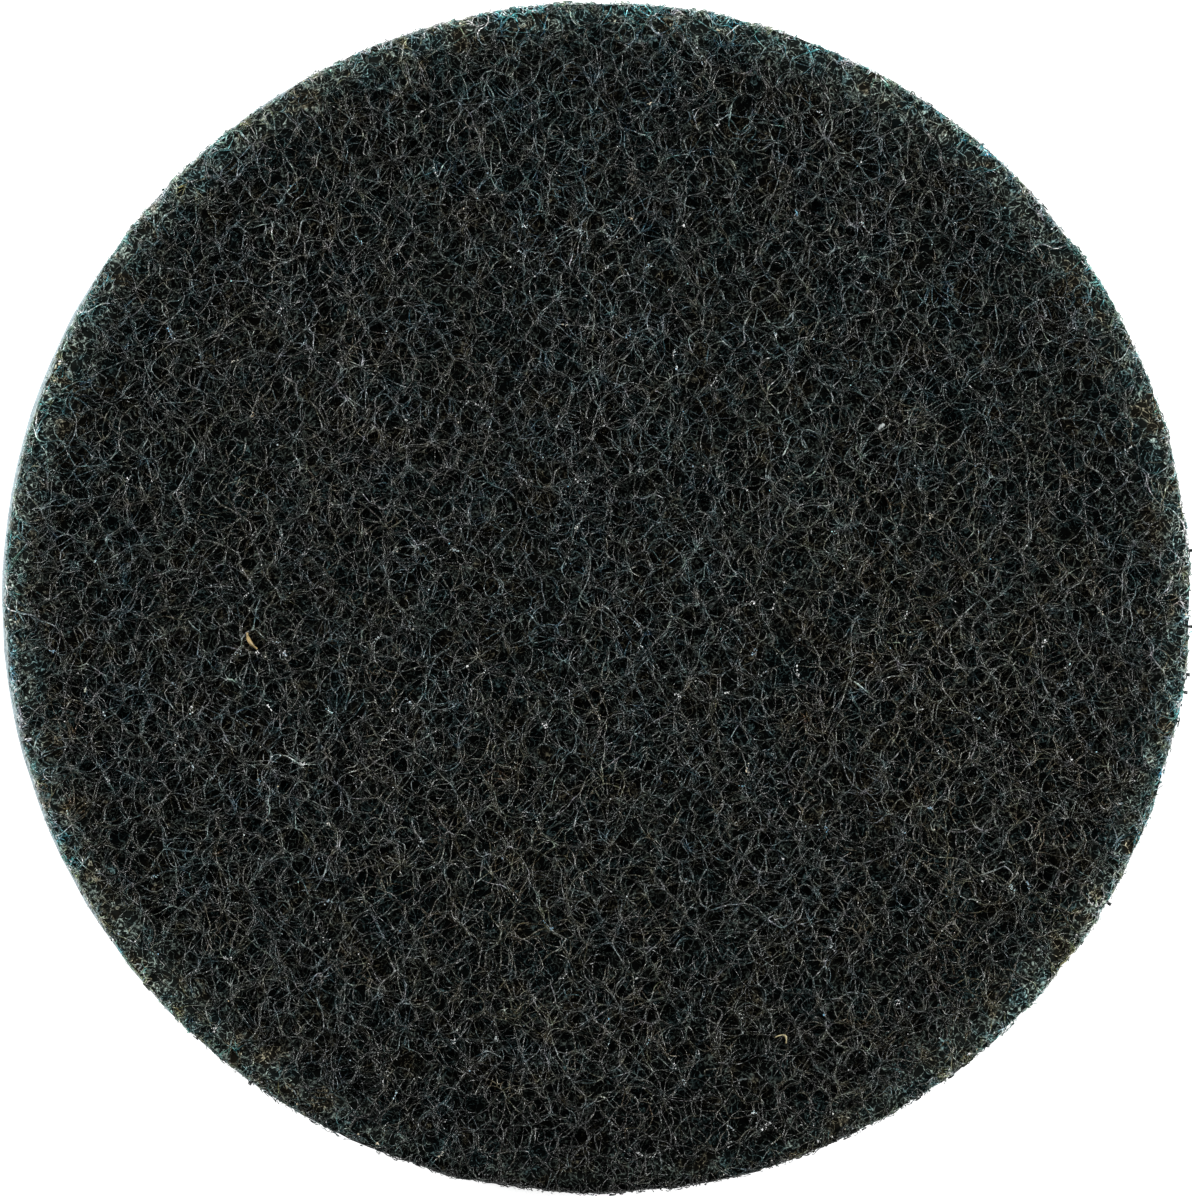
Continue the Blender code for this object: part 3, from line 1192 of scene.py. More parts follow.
@dataclass
class TangledWeb:
    """The abrasive web: a dark bed, fibres tangled over its face and rim, grains of grit, and pale specks of
    painted highlight on the rim.

    Attributes:
        layer: Its CAD node.
        seed: Seed of all its random numbers.
        outset: How far its cut stands out from the solid's mean radius, which is ragged.
        left_trim: How far the cut stands in at -X, where the photograph shows the fleece.
        left_width: Angle over which it does.
        cut_wander: Spread of the cut's wandering.
        cut_wander_length: Its wavelength.
        cut_spread: Spread of where single fibres are cut.
        cut_slope: How far in the cut is for each metre of depth.
        lump: Spread of the face's soft lumps.
        lump_length: Their wavelength.
        lump_room: Room left for lumps under the solid's top, in spreads.
        shoulder_width: Width of the rounded shoulder.
        shoulder_drop: Its height.
        face_depth: Depth of the tangle on the bed.
        rim_fill: Share of that depth that the bed fills at the rim.
        rim_fill_span: Where that begins and ends, inwards from the cut.
        wall_depth: Depth of the fibres on the wall.
        bed_rings: Rings of the bed over its face and down its wall.
        bed_sectors: Points in each ring.
        bed_rough: Spread of the bed's unevenness.
        bed_rough_length: Its wavelength.
        bed_rim_calm: Share of it that the rim lacks.
        bed_wall_rough: Spread of the bed's wall.
        bed_wall_length: Its wavelength.
        gather: How far fibres are drawn together.
        gather_length: Distance between the knots.
        gather_waves: Number of plane waves in their noise.
        gather_spread: Least and greatest wave number in it, over the mean one.
        gather_rise: How far the knots stand out.
        strong_curls: Share of the fibres that curl strongly.
        strong_curl: Their greatest bend, in radians a metre.
        strong_calm: Factor on their crimp.
        own_girth: Spread of the fibres' thickness.
        point_girth: Spread of the thickness along a fibre.
        blob_share: Share of the points with a blob of resin.
        blob_girth: Least and greatest factor of a blob.
        depth_shape: The two powers of the beta distribution of depths.
        weave_share: Least and greatest share of the kind's weave.
        face_margin: How far outside the cut the middles of fibres may lie.
        depth_room: How far under the bed's depth a fibre may sink.
        wall_foot: Lowest height of the wall's fibres over the base.
        wall_head: Their highest, down from the face over the shoulder's drop.
        grain_reach: Depth to which fibres carry grit.
        crystal_lengths: Least and greatest length of a grain's half axes, over its radius.
        crystal_shape: Mean lengths of its three axes.
        painted_glint_gap: Share of the rim's painted highlight specks that is missing at -Y, which paints the
            shade there.
        nubs: Pixels of the clotted ends in the photograph.
        nub_points: Points along one.
        nub_length: Its length.
        nub_rooted: Share of it inside the cut.
        nub_height: Its height, as a share of the web's.
        nub_radius: Its radius at the end.
        nub_taper: Its radius at the root, as a share of that.
        nub_tint: Its colour.
        fleck_points: Points along a fleck.
        fleck_girth: Spread of its thickness.
        fleck_taper: Width at its ends over that in its middle.
        fleck_factors: Least and greatest factor on its colour.
        coating: The fibres' colour.
    """

    layer: Layer = Layer.WEB
    seed: int = 4100
    outset: float = 0.46 * MM
    left_trim: float = 0.38 * MM
    left_width: float = math.radians(39.0)
    cut_wander: float = 0.055 * MM
    cut_wander_length: float = 9.0 * MM
    cut_spread: float = 0.07 * MM
    cut_slope: float = 0.12
    lump: float = 0.16 * MM
    lump_length: float = 6.0 * MM
    lump_room: float = 2.4
    shoulder_width: float = 2.4 * MM
    shoulder_drop: float = 1.3 * MM
    face_depth: float = 1.15 * MM
    rim_fill: float = 0.62
    rim_fill_span: Range = (-5.0 * MM, -0.6 * MM)
    wall_depth: float = 0.26 * MM
    bed_rings: tuple[int, int] = (43, 8)
    bed_sectors: int = 170
    bed_rough: float = 0.16 * MM
    bed_rough_length: float = 1.6 * MM
    bed_rim_calm: float = 0.5
    bed_wall_rough: float = 0.10 * MM
    bed_wall_length: float = 2.0 * MM
    gather: float = 0.22 * MM
    gather_length: float = 2.2 * MM
    gather_waves: int = 24
    gather_spread: Range = (0.7, 1.4)
    gather_rise: float = 0.18 * MM
    strong_curls: float = 0.30
    strong_curl: float = 420.0
    strong_calm: float = 0.4
    own_girth: float = 0.24
    point_girth: float = 0.16
    blob_share: float = 0.035
    blob_girth: Range = (1.3, 1.9)
    depth_shape: Pair = (1.1, 1.4)
    weave_share: Range = (0.15, 1.0)
    face_margin: float = 1.0 * MM
    depth_room: float = 0.2 * MM
    wall_foot: float = 0.1 * MM
    wall_head: float = 0.2
    grain_reach: float = 0.30 * MM
    crystal_lengths: Range = (0.6, 1.3)
    crystal_shape: tuple[float, float, float] = (1.0, 0.8, 0.6)
    painted_glint_gap: float = 0.95
    nubs: tuple[Pixel, ...] = ((1190.0, 550.0), (1189.0, 626.0), (1187.0, 674.0), (1186.0, 692.0),
                               (1112.0, 905.0), (250.0, 1080.0))
    nub_points: int = 5
    nub_length: float = 0.70 * MM
    nub_rooted: float = 0.36
    nub_height: float = 0.6
    nub_radius: float = 0.22 * MM
    nub_taper: float = 0.55
    nub_tint: Colour = (0.016, 0.021, 0.021)
    fleck_points: int = 7
    fleck_girth: float = 0.28
    fleck_taper: float = 0.6
    fleck_factors: Range = (0.5, 1.1)
    coating: Coating = field(default_factory=Coating)

    def __post_init__(self) -> None:
        """Read the layer's place from the frame."""
        low, high = self.layer.box()
        self.base = float(low[2])
        self.plane = float(high[2]) - self.lump_room * self.lump
        self.radius = self.layer.radius() + self.outset

    def cut_radius(self, points: Array) -> Array:
        """Radius of the die-cut edge towards points: it wanders, and dips by a bell curve of the angle at -X.

        Args:
            points: Array (..., 2 or more) of positions.

        Returns:
            Array (...) of radii.
        """
        angle = np.arctan2(points[..., 1], points[..., 0])
        rim = self.radius * unit_at(angle)
        dip = self.left_trim * np.exp(-(((np.abs(angle) - math.pi) / self.left_width) ** 2))
        wander = self.cut_wander * wave_noise(rim, self.cut_wander_length, self.seed + WebSeed.CUT)
        return self.radius - dip + wander

    def past_cut(self, points: Array) -> Array:
        """Return how far points are outside the cut, less than 0 inside it."""
        return np.hypot(points[..., 0], points[..., 1]) - self.cut_radius(points)

    def face_height(self, points: Array) -> Array:
        """Height of the web's face: level with soft lumps, and a quarter of an ellipse down at the shoulder.

        Args:
            points: Array (..., 2 or more) of positions.

        Returns:
            Array (...) of heights.
        """
        lumps = self.lump * wave_noise(points[..., :2], self.lump_length, self.seed)
        past = np.clip(self.past_cut(points) / self.shoulder_width + 1.0, 0.0, 1.0)
        return self.plane + lumps - self.shoulder_drop * (1.0 - np.sqrt(1.0 - past * past))

    def wall_inset(self, height: Array) -> Array:
        """Return how far in from the cut the shoulder is at a height: its ellipse solved the other way."""
        fall = np.clip((self.plane - height) / self.shoulder_drop, 0.0, 1.0)
        return self.shoulder_width * (1.0 - np.sqrt(1.0 - (1.0 - fall) ** 2))

    def gathered(self, flat: Array) -> tuple[Array, Array]:
        """Draw points together along the crests of smooth noise, as fibres bunch round knots and leave pits.

        The noise is the sum of cosines of plane waves. Each point moves up its slope, which is the sum of
        every wave's direction times minus the sine of its phase.

        Args:
            flat: Array (..., 2) of positions.

        Returns:
            The moved positions, and the noise, with mean 0 and standard deviation 1.
        """
        draw = np.random.default_rng(self.seed + WebSeed.KNOTS)
        waves = draw.normal(size=(2, self.gather_waves))
        waves /= np.linalg.norm(waves, axis=0)
        turns = waves * TAU / self.gather_length * draw.uniform(*self.gather_spread, self.gather_waves)
        phase = flat @ turns + draw.uniform(0.0, TAU, self.gather_waves)
        size = math.sqrt(2.0 / self.gather_waves)
        return flat - self.gather * size * np.sin(phase) @ waves.T, size * np.cos(phase).sum(axis=-1)

    def bed(self) -> bpy.types.Object:
        """Make the dark bed: rings over the face and down the wall to a flat base.

        Its face is the web's, lower by the tangle's depth and rough with smooth noise. The wall goes evenly
        down and is rough the same way, outwards.

        Returns:
            The new object.
        """
        face, wall = self.bed_rings
        share = np.concatenate([np.linspace(0.0, 1.0, face + 1)[1:], np.ones(wall)])
        drop = np.concatenate([np.zeros(face), np.linspace(0.0, 1.0, wall + 1)[1:]])[:, None]
        unit = unit_at(even_turns(self.bed_sectors))
        flat = share[:, None, None] * (self.cut_radius(unit) - self.wall_depth)[:, None] * unit
        points = raised(flat, 0.0)
        fill = smooth_step(self.past_cut(points), *self.rim_fill_span)
        rough = wave_noise(points, self.bed_rough_length, self.seed + WebSeed.BED_FACE)
        rough = self.bed_rough * (1.0 - self.bed_rim_calm * fill) * rough
        upper = self.face_height(points) - self.face_depth * (1.0 - self.rim_fill * fill) + rough
        points[..., 2] = upper * (1.0 - drop) + self.base * drop
        outward = wave_noise(points, self.bed_wall_length, self.seed + WebSeed.BED_WALL)
        points[..., :2] += (self.bed_wall_rough * outward * (drop > 0.0))[..., None] * unit
        return ringed_body("web_bed", points, points[0, :, 2].mean(), self.base)

    def heading(self, kind: FibreKind, draw: np.random.Generator) -> Array:
        """Turn of each fibre along its length: a start, a steady bend and its kind's waves of crimp.

        Args:
            kind: The fibres' kind.
            draw: Random numbers of this batch.

        Returns:
            Array (fibres, points) of angles.
        """
        each = (kind.count, 1)
        along = kind.step * np.arange(kind.points)
        bend = draw.normal(0.0, kind.curl, each)
        strong = draw.random(each) < self.strong_curls
        bend = np.where(strong, self.strong_curl * draw.uniform(-1.0, 1.0, each), bend)
        turn = draw.uniform(0.0, TAU, each) + bend * along
        for crimp in kind.crimps:
            wave = draw.uniform(*crimp.length, each)
            swing = draw.uniform(*crimp.swing, each) * np.where(strong, self.strong_calm, 1.0)
            turn = turn + swing * np.sin(TAU * along / wave + draw.uniform(0.0, TAU, each))
        return turn

    def girth(self, kind: FibreKind, draw: np.random.Generator) -> Array:
        """Radius along each fibre: its own size, uneven coating, and resin blobs on a few points.

        Args:
            kind: The fibres' kind.
            draw: Random numbers of this batch.

        Returns:
            Array (fibres, points) of radii.
        """
        shape = (kind.count, kind.points)
        own = kind.radius * draw.lognormal(0.0, self.own_girth, (kind.count, 1))
        blob = np.where(draw.random(shape) < self.blob_share, draw.uniform(*self.blob_girth, shape), 1.0)
        return own * draw.lognormal(0.0, self.point_girth, shape) * blob

    def sinking(self, kind: FibreKind, draw: np.random.Generator) -> Array:
        """Depth along each fibre: its own depth plus a sine wave.

        Args:
            kind: The fibres' kind.
            draw: Random numbers of this batch.

        Returns:
            Array (fibres, points) of depths under the face or inside the wall.
        """
        each = (kind.count, 1)
        along = kind.step * np.arange(kind.points)
        own = kind.shallow + (kind.deep - kind.shallow) * draw.beta(*self.depth_shape, each)
        length = draw.uniform(*kind.sway, each)
        swing = kind.weave * draw.uniform(*self.weave_share, each)
        return own + swing * np.sin(TAU * along / length + draw.uniform(0.0, TAU, each))

    def face_paths(self, kind: FibreKind, number: int) -> FibrePaths:
        """Lay one batch of fibres over the face, cut off at the rim.

        Each path is the running sum of short steps along its heading. It rises and falls about its own depth.

        Args:
            kind: The fibres' kind.
            number: The batch's number, which seeds it.

        Returns:
            The paths.
        """
        each = (kind.count, 1)
        draw = np.random.default_rng(self.seed + WebSeed.FACE_BATCH + number)
        steps = kind.step * unit_at(self.heading(kind, draw))
        reach = (self.radius + self.face_margin) * np.sqrt(draw.random(each))
        middle = reach[..., None] * unit_at(draw.uniform(0.0, TAU, each))
        path = middle + np.cumsum(steps, axis=1) - steps.sum(axis=1, keepdims=True) / 2.0
        path, knots = self.gathered(path)
        points = raised(path, 0.0)
        radius = self.girth(kind, draw)
        sunk = self.sinking(kind, draw) - self.gather_rise * knots
        sunk = np.clip(sunk, 0.0, self.face_depth + self.depth_room)
        points[..., 2] = self.face_height(points) - sunk - radius
        inside = self.past_cut(points) < draw.normal(0.0, self.cut_spread, each) - self.cut_slope * sunk
        back = ~inside[:, 0] & inside[:, -1]
        for whole in (points, radius, inside, sunk):
            whole[back] = whole[back][:, ::-1]
        seed = self.seed + WebSeed.COATING
        tint = self.coating.tints(points, sunk / self.face_depth, kind, draw, seed)
        return FibrePaths(points, radius, tint, np.cumprod(inside, axis=1).astype(bool))

    def wall_paths(self, kind: FibreKind, number: int) -> FibrePaths:
        """Lay fibres over the cut wall and the shoulder.

        Each path is a walk on the wall unrolled, distance round it and height, which turns back at the wall's
        top and foot, and it sways in and out of the wall.

        Args:
            kind: The fibres' kind.
            number: The batch's number, which seeds it.

        Returns:
            The paths.
        """
        each = (kind.count, 1)
        draw = np.random.default_rng(self.seed + WebSeed.WALL_BATCH + number)
        turn = self.heading(kind, draw)
        round_it = draw.uniform(0.0, TAU * self.radius, each) + np.cumsum(kind.step * np.cos(turn), axis=1)
        foot, head = self.base + self.wall_foot, self.plane - self.wall_head * self.shoulder_drop
        rise = draw.uniform(0.0, head - foot, each) + np.cumsum(kind.step * np.sin(turn), axis=1)
        height = head - np.abs(np.mod(rise, 2.0 * (head - foot)) - (head - foot))
        radius = self.girth(kind, draw)
        sunk = np.clip(self.sinking(kind, draw), kind.shallow - kind.weave, self.wall_depth)
        unit = unit_at(round_it / self.radius)
        reach = self.cut_radius(unit) - radius - sunk - self.wall_inset(height)
        points = raised(reach[..., None] * unit, height)
        seed = self.seed + WebSeed.COATING
        tint = self.coating.tints(points, np.clip(sunk / self.wall_depth, 0.0, 1.0), kind, draw, seed)
        return FibrePaths.uncut(points, radius, tint)

    def nub_paths(self) -> FibrePaths:
        """Stand short dark ends of resin-clotted fibre on the wall, where the photograph shows them.

        Each runs straight outward through the cut, and swells by a quarter of a sine towards its end.

        Returns:
            The paths.
        """
        seen = np.array([photo_point(x, y) for x, y in self.nubs])
        unit = seen / np.linalg.norm(seen, axis=1, keepdims=True)
        along = np.linspace(0.0, 1.0, self.nub_points)
        reach = self.cut_radius(unit)[:, None] + self.nub_length * (along - self.nub_rooted)
        height = self.base + self.nub_height * (self.plane - self.base)
        points = raised(reach[..., None] * unit[:, None, :], height)
        swell = self.nub_taper + (1.0 - self.nub_taper) * np.sin(0.5 * math.pi * along)
        radius = np.broadcast_to(self.nub_radius * swell, reach.shape)
        return FibrePaths.uncut(points, radius, np.broadcast_to(self.nub_tint, points.shape))

    def fleck_paths(self) -> FibrePaths:
        """Lay the larger flecks on the face, where the photograph shows them.

        Each is a sliver along a parabola, which is widest in its middle by a half sine.

        Returns:
            The paths.
        """
        seen = [(fleck.start, fleck.bend, fleck.end) for fleck in FLECKS]
        spots = np.array([[photo_point(*pixel) for pixel in pixels] for pixels in seen])
        along = np.linspace(0.0, 1.0, self.fleck_points)
        weights = np.stack([(1.0 - along) ** 2, 2.0 * along * (1.0 - along), along ** 2])
        flat = np.einsum("kp,nkd->npd", weights, spots)
        draw = np.random.default_rng(self.seed + WebSeed.FLECKS)
        width = np.array([fleck.width for fleck in FLECKS])[:, None]
        width = width * draw.lognormal(0.0, self.fleck_girth, flat.shape[:2])
        radius = 0.5 * width * (self.fleck_taper + (1.0 - self.fleck_taper) * np.sin(math.pi * along))
        tint = np.array([fleck.colour for fleck in FLECKS])[:, None, :]
        tint = tint * draw.uniform(*self.fleck_factors, (*width.shape, 1))
        return FibrePaths.uncut(raised(flat, self.face_height(flat)), radius, tint)

    def grit(self, kind: GrainKind, paths: FibrePaths, bare: Array,
             lift: Array) -> tuple[Array, Array, Array]:
        """Scatter grains of grit, or specks of painted highlight, on fibres, alone or in clusters.

        Args:
            kind: The grains' kind.
            paths: The fibres that carry them.
            bare: Array (fibres, points), true where a grain may sit.
            lift: Array (fibres, points, 3) of unit vectors to the side of the fibre that it sits on.

        Returns:
            The grains' places, sizes and colours.
        """
        draw = np.random.default_rng(self.seed + kind.seed)
        fibre, step = np.nonzero(paths.alive[:, :-1] & bare[:, :-1])
        pick = draw.integers(0, len(fibre), kind.single + kind.clusters)
        each = (len(pick), 1)
        clustered = draw.integers(*kind.cluster_size, kind.clusters)
        repeats = np.concatenate([np.ones(kind.single, dtype=int), clustered])
        group = np.repeat(np.arange(len(pick)), repeats)
        fibre, step = fibre[pick][group], step[pick][group]
        share = draw.random((len(group), 1))
        last = paths.alive.sum(axis=1)[fibre] - 2
        near = np.maximum(np.minimum(step + draw.integers(0, 2, len(group)), last), 0)
        place = paths.points[fibre, near] * (1.0 - share) + paths.points[fibre, near + 1] * share
        spread = draw.uniform(*kind.scatter, each)[group]
        place[:, :2] += spread * draw.normal(size=(len(group), 2))
        place += kind.seat * paths.radius[fibre, near, None] * lift[fibre, near]
        size = kind.radius * draw.lognormal(0.0, kind.size_spread, len(group))
        bright = kind.bright * draw.lognormal(0.0, kind.bright_spread, each)[group]
        bright = bright * draw.uniform(*kind.bright_factors, (len(group), 1))
        cold = draw.normal(kind.cold, kind.cold_spread, each)[group]
        hue = np.concatenate([kind.warm_red - cold, np.ones_like(cold), 1.0 + cold], axis=-1)
        return place, size, np.clip(bright * hue, *kind.limits)

    def crystals(self, name: str, place: Array, size: Array, tint: Array) -> bpy.types.Object:
        """Make grains as eight-faced crystals: six corners on three crossed axes, each at its own distance.

        Args:
            name: The object's name.
            place: Array (n, 3) of centres.
            size: Array (n) of radii.
            tint: Array (n, 3) of colours.

        Returns:
            The grains as one flat-faced object.
        """
        draw = np.random.default_rng(self.seed + WebSeed.CRYSTALS)
        corners = np.concatenate([np.eye(3), -np.eye(3)])[[0, 1, 3, 4, 2, 5]]
        spin = draw.uniform(0.0, TAU, (len(place), 1))
        lengths = draw.uniform(*self.crystal_lengths, (len(place), len(corners), 1))
        shape = corners * lengths * np.array(self.crystal_shape) * size[:, None, None]
        x, y, z = np.moveaxis(shape, -1, 0)
        turned = np.stack([x * np.cos(spin) - y * np.sin(spin), x * np.sin(spin) + y * np.cos(spin), z],
                          axis=-1)
        sides = np.array([[0, 1, 4], [1, 2, 4], [2, 3, 4], [3, 0, 4],
                          [1, 0, 5], [2, 1, 5], [3, 2, 5], [0, 3, 5]])
        triangles = (len(corners) * np.arange(len(place))[:, None, None] + sides).reshape(-1, 3)
        made = put_mesh(name, (place[:, None, :] + turned).reshape(-1, 3), np.empty((0, 4), dtype=int),
                        triangles, tint=np.repeat(tint, len(corners), axis=0))
        made.data.polygons.foreach_set("use_smooth", np.zeros(len(triangles), dtype=bool))
        return made

    def face_grit_and_glints(self, paths: FibrePaths) -> bpy.types.Object:
        """Make the grains of grit on top of the highest surface fibres, which also paint glints.

        Args:
            paths: The fibres that carry them.

        Returns:
            The new object.
        """
        bare = self.face_height(paths.points) - paths.points[..., 2] < self.grain_reach
        lift = np.broadcast_to(np.array([0.0, 0.0, 1.0]), paths.points.shape)
        return self.crystals(FACE_GRIT_AND_GLINTS.name, *self.grit(FACE_GRIT_AND_GLINTS, paths, bare, lift))

    def edge_painted_glints(self, paths: FibrePaths) -> bpy.types.Object:
        """Make fine pale specks of painted highlight on the outer and upper side of the wall's fibres, fewer at
        -Y.

        Args:
            paths: The fibres that carry them.

        Returns:
            The new object.
        """
        draw = np.random.default_rng(self.seed + WebSeed.BARE_WALL)
        # Painted shade: the painted highlight specks are mostly left out at -Y, and sit on the outer and upper
        # side
        bare = draw.random(paths.radius.shape) > self.painted_glint_gap * near_side(paths.points)
        lift = paths.points / np.hypot(paths.points[..., 0], paths.points[..., 1])[..., None]
        lift[..., 2] = 1.0
        return self.crystals(EDGE_PAINTED_GLINTS.name, *self.grit(EDGE_PAINTED_GLINTS, paths, bare, lift / math.sqrt(2.0)))

    def build(self) -> list[bpy.types.Object]:
        """Make and dress every piece of the web, in place of its CAD node.

        Returns:
            The pieces.
        """
        surface = [self.face_paths(SURFACE, number) for number in (0, 1)]
        tangle = [self.face_paths(TANGLE, number) for number in (2, 3)]
        wall = self.wall_paths(WALL, 0)
        paths = {"surface_fibres_1": surface[0], "surface_fibres_2": surface[1],
                 "tangle_fibres_1": tangle[0], "tangle_fibres_2": tangle[1],
                 "wall_fibres": wall, "stray_ends": self.wall_paths(STRAY, 1),
                 "edge_hairs": self.wall_paths(HAIR, 2), "clotted_ends": self.nub_paths()}
        bed = [self.bed()]
        fibres = [batch.build(name) for name, batch in paths.items()]
        grains = [self.face_grit_and_glints(surface[0]), self.edge_painted_glints(wall), self.fleck_paths().build("face_flecks")]
        for pieces, finish in ((bed, BedFinish()), (fibres, FibreFinish()), (grains, GRAINS_AND_GLINTS)):
            material = finish.material()
            for piece in pieces:
                finish_piece(piece, self.layer, material)
        return bed + fibres + grains


@dataclass
class WovenScrim:
    """The woven cloth: two egg-crate faces of crossing yarns and a rim, as one closed sheet.

    Attributes:
        layer: Its CAD node.
        trim: How far its edge stands in from the solid's.
        pitch: Distance from one yarn to the next.
        wave: Height of the crossings.
        close_gap: How far it reaches up past the solid, to the web.
        rings: Rings of each face.
        sectors: Points in each ring.
    """

    layer: Layer = Layer.SCRIM
    trim: float = 0.10 * MM
    pitch: float = 1.5 * MM
    wave: float = 0.07 * MM
    close_gap: float = 0.28 * MM
    rings: int = 36
    sectors: int = 144

    def build(self) -> list[bpy.types.Object]:
        """Make and dress the cloth, in place of its CAD node.

        Both faces are rings of points whose height waves with the product of two cosines, along X and Y.

        Returns:
            The cloth.
        """
        low, high = self.layer.box()
        radius = self.layer.radius() - self.trim
        reach = radius * np.linspace(0.0, 1.0, self.rings + 1)[1:]
        flat = reach[:, None, None] * unit_at(even_turns(self.sectors))
        wave = self.wave * np.prod(np.cos(math.pi * flat / self.pitch), axis=-1)
        top = raised(flat, high[2] + self.close_gap - self.wave + wave)
        under = raised(flat, low[2] + self.wave + wave)[::-1]
        cloth = ringed_body("scrim_cloth", np.concatenate([top, under]), top[0, :, 2].mean(),
                            under[-1, :, 2].mean())
        finish_piece(cloth, self.layer, ScrimFinish().material())
        return [cloth]


@dataclass
class LoopFleece:
    """The hook-and-loop facing: a felted ground and a pile of small loops under it.

    Attributes:
        layer: Its CAD node.
        seed: Seed of all its random numbers.
        trim: How far its edge stands in from the solid's.
        edge_wander: Spread of its edge's wandering.
        edge_wander_length: Its wavelength.
        edge_round: Rounding of the edge.
        edge_rings: Rings round that edge.
        ground_share: Share of the thickness that the ground takes.
        close_gap: How far it reaches up past the solid, to the scrim.
        uneven: Spread of the ground's unevenness.
        uneven_length: Its wavelength.
        rings: Rings of each of the ground's faces.
        sectors: Points in each ring.
        loops: Number of loops.
        loop_points: Points along a loop.
        loop_radius: Radius of its yarn.
        loop_margin: How far in from the edge the loops stay.
        loop_reach: Least and greatest half width of a loop.
        loop_drop: Least and greatest share of the height that it hangs down.
        loop_pale: Least and greatest factor on its colour.
    """

    layer: Layer = Layer.FLEECE
    seed: int = 7200
    trim: float = 0.07 * MM
    edge_wander: float = 0.045 * MM
    edge_wander_length: float = 5.0 * MM
    edge_round: float = 0.2 * MM
    edge_rings: int = 5
    ground_share: float = 0.62
    close_gap: float = 0.28 * MM
    uneven: float = 0.03 * MM
    uneven_length: float = 1.5 * MM
    rings: int = 26
    sectors: int = 140
    loops: int = 1400
    loop_points: int = 5
    loop_radius: float = 0.06 * MM
    loop_margin: float = 0.42 * MM
    loop_reach: Range = (0.25 * MM, 0.55 * MM)
    loop_drop: Range = (0.75, 1.0)
    loop_pale: Range = (0.75, 1.15)

    def __post_init__(self) -> None:
        """Read the layer's place from the frame."""
        low, high = self.layer.box()
        self.foot, self.top = float(low[2]), float(high[2])
        self.radius = self.layer.radius() - self.trim
        self.under = self.top - self.ground_share * (self.top - self.foot)

    def ground(self) -> bpy.types.Object:
        """Make the felted ground: a turned slab with a half-round edge and faintly uneven faces.

        Returns:
            The new object.
        """
        top = self.top + self.close_gap
        inner = (self.radius - self.edge_round) * np.linspace(0.0, 1.0, self.rings + 1)[1:]
        bend = np.linspace(0.5 * math.pi, -0.5 * math.pi, self.edge_rings + 2)[1:-1]
        rim = self.radius - self.edge_round * (1.0 - np.cos(bend))
        reach = np.concatenate([inner, rim, inner[::-1]])
        edge = 0.5 * (top + self.under) + 0.5 * (top - self.under) * np.sin(bend)
        height = np.concatenate([np.full(self.rings, top), edge, np.full(self.rings, self.under)])
        flat = reach[:, None, None] * unit_at(even_turns(self.sectors))
        points = raised(flat, height[:, None])
        points[..., 2] += self.uneven * wave_noise(points, self.uneven_length, self.seed + FleeceSeed.GROUND)
        outline = self.radius * flat[-1] / reach[-1]
        rag = wave_noise(outline, self.edge_wander_length, self.seed + FleeceSeed.EDGE)
        rag = self.edge_wander * rag * (reach[:, None] > inner[-1]) / self.radius
        points[..., :2] *= (1.0 + rag)[..., None]
        return ringed_body("fleece_ground", points, top, self.under)

    def pile(self) -> bpy.types.Object:
        """Make the pile: each loop is half an ellipse that hangs from the ground and leans its own way.

        Returns:
            The new object.
        """
        each = (self.loops, 1)
        draw = np.random.default_rng(self.seed + FleeceSeed.PILE)
        reach = (self.radius - self.loop_margin) * np.sqrt(draw.random(each))
        middle = reach[..., None] * unit_at(draw.uniform(0.0, TAU, each))
        bend = math.pi * np.linspace(0.0, 1.0, self.loop_points)
        across = draw.uniform(*self.loop_reach, each) * np.cos(bend)
        drop = (self.under - self.foot - self.loop_radius) * draw.uniform(*self.loop_drop, each)
        flat = middle + across[..., None] * unit_at(draw.uniform(0.0, TAU, each))
        points = raised(flat, self.under - drop * np.sin(bend))
        radius = np.full(points.shape[:2], self.loop_radius)
        pale = draw.uniform(*self.loop_pale, (*each, 1)) * np.array(FleeceFinish().pile)
        return FibrePaths.uncut(points, radius, np.broadcast_to(pale, points.shape)).build("fleece_loops")

    def build(self) -> list[bpy.types.Object]:
        """Make and dress the fleece, in place of its CAD node.

        Returns:
            The ground and the pile.
        """
        ground, pile = self.ground(), self.pile()
        finish_piece(ground, self.layer, FleeceFinish().material())
        finish_piece(pile, self.layer, LOOP_YARN.material())
        2.0 * self.radius
        2.0 * self.radius
        math.pi * self.radius * self.radius
        return [ground, pile]


@dataclass(frozen=True)
class Lamp:
    """A square soft lamp: its name, where it hangs, in metres, and its watts."""

    name: str
    place: tuple[float, float, float]
    power: float


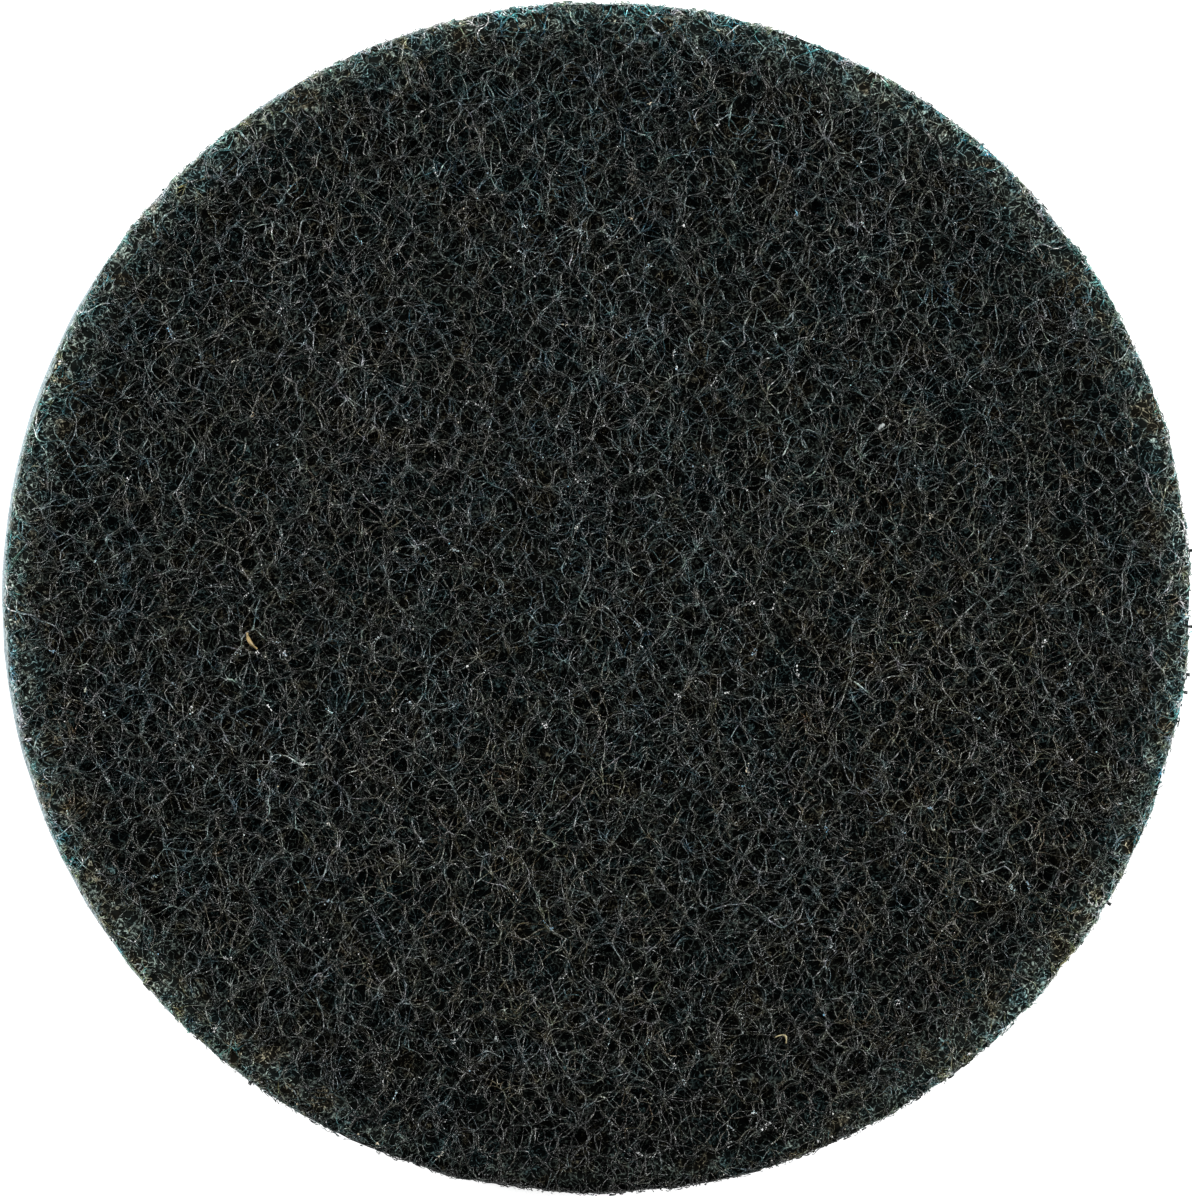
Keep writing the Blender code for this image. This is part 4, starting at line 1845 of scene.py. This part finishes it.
@dataclass
class Studio:
    """A pale floor, soft lamps at both sides and beyond the disc, and the camera above it.

    Attributes:
        tilt: How far the camera leans towards -X.
        distance: Its distance from the disc.
        frame_width: Width of its view at the disc.
        aim: What it looks at.
        sensor: Width of its sensor in millimetres.
        lamps: The lamps.
        lamp_size: Their side.
        floor_size: Side of the floor.
        floor_colour: Its colour.
        floor_glow: Light that it adds for the camera alone.
        floor_drop: How far it lies under the disc.
        world_strength: Light from all round.
    """

    tilt: float = math.radians(4.0)
    distance: float = 3.0
    frame_width: float = 125.2 * MM
    aim: Pair = (-0.07 * MM, -0.02 * MM)
    sensor: float = 36.0
    lamps: tuple[Lamp, ...] = (Lamp("left_lamp", (-1.2, 0.3, 0.46), 17.5),
                               Lamp("right_lamp", (1.2, 0.1, 0.46), 17.5),
                               Lamp("far_lamp", (0.0, 1.0, 0.9), 4.8))
    lamp_size: float = 0.45
    floor_size: float = 6.0
    floor_colour: Colour = (0.86, 0.86, 0.86)
    floor_glow: float = 0.80
    floor_drop: float = 0.02 * MM
    world_strength: float = 0.10

    def camera(self) -> None:
        """Look straight down, leaning a little towards -X, with the disc filling the frame's width."""
        data = bpy.data.cameras.new("camera")
        data.sensor_fit = "HORIZONTAL"
        data.sensor_width = self.sensor
        data.lens = self.sensor * self.distance / self.frame_width
        aim = Vector((*self.aim, float(Layer.WEB.box()[1][2]) * 0.5))
        offset = Vector((-math.sin(self.tilt), 0.0, math.cos(self.tilt))) * self.distance
        eye = add_object("camera", data)
        eye.location = aim + offset
        eye.rotation_euler = (0.0, -self.tilt, 0.0)
        bpy.context.scene.camera = eye

    def hang(self, lamp: Lamp) -> None:
        """Hang a lamp that faces the disc.

        Args:
            lamp: The lamp.
        """
        data = bpy.data.lights.new(lamp.name, "AREA")
        data.shape = "SQUARE"
        data.size = self.lamp_size
        data.energy = lamp.power
        hung = add_object(lamp.name, data)
        hung.location = lamp.place
        hung.rotation_euler = Vector(lamp.place).to_track_quat("Z", "Y").to_euler()

    def floor(self) -> None:
        """Lay a pale floor, which the camera sees nearly white and which keeps the disc's shadow."""
        square = np.array([[-0.5, -0.5], [0.5, -0.5], [0.5, 0.5], [-0.5, 0.5]]) * self.floor_size
        floor = put_mesh("floor", raised(square, -self.floor_drop), np.array([[0, 1, 2, 3]]),
                         np.empty((0, 3), dtype=int))
        made = bpy.data.materials.new("pale_floor")
        tree = ShaderTree(made)
        seen = tree.node("LightPath", output="Is Camera Ray")
        pale = tree.node("BsdfDiffuse", {}, {"Color": tree.opaque(self.floor_colour)})
        white = tree.node("Emission", {}, {"Color": WHITE, "Strength": self.floor_glow * seen})
        tree.surface(tree.node("AddShader", {}, {0: pale, 1: white}))
        floor.data.materials.append(made)

    def world(self) -> None:
        """Light everything a little from all round, and show white behind the floor."""
        world = bpy.data.worlds.new("studio")
        bpy.context.scene.world = world
        tree = ShaderTree(world)
        seen = tree.node("LightPath", output="Is Camera Ray")
        strength = self.world_strength + (1.0 - self.world_strength) * seen
        tree.surface(tree.node("Background", {}, {"Color": WHITE, "Strength": strength}))

    def build(self) -> None:
        """Set up the whole studio."""
        self.camera()
        for lamp in self.lamps:
            self.hang(lamp)
        self.floor()
        self.world()
        bpy.context.scene.view_settings.view_transform = "Standard"


def main() -> None:
    """Build the studio and the disc's layers."""
    logging.basicConfig(level=logging.INFO, format="%(message)s")
    Studio().build()
    for part in (LoopFleece(), WovenScrim(), TangledWeb()):
        pieces = part.build()
        LOG.info("%s: %d pieces", part.layer.value, len(pieces))


if __name__ == "__main__":
    main()
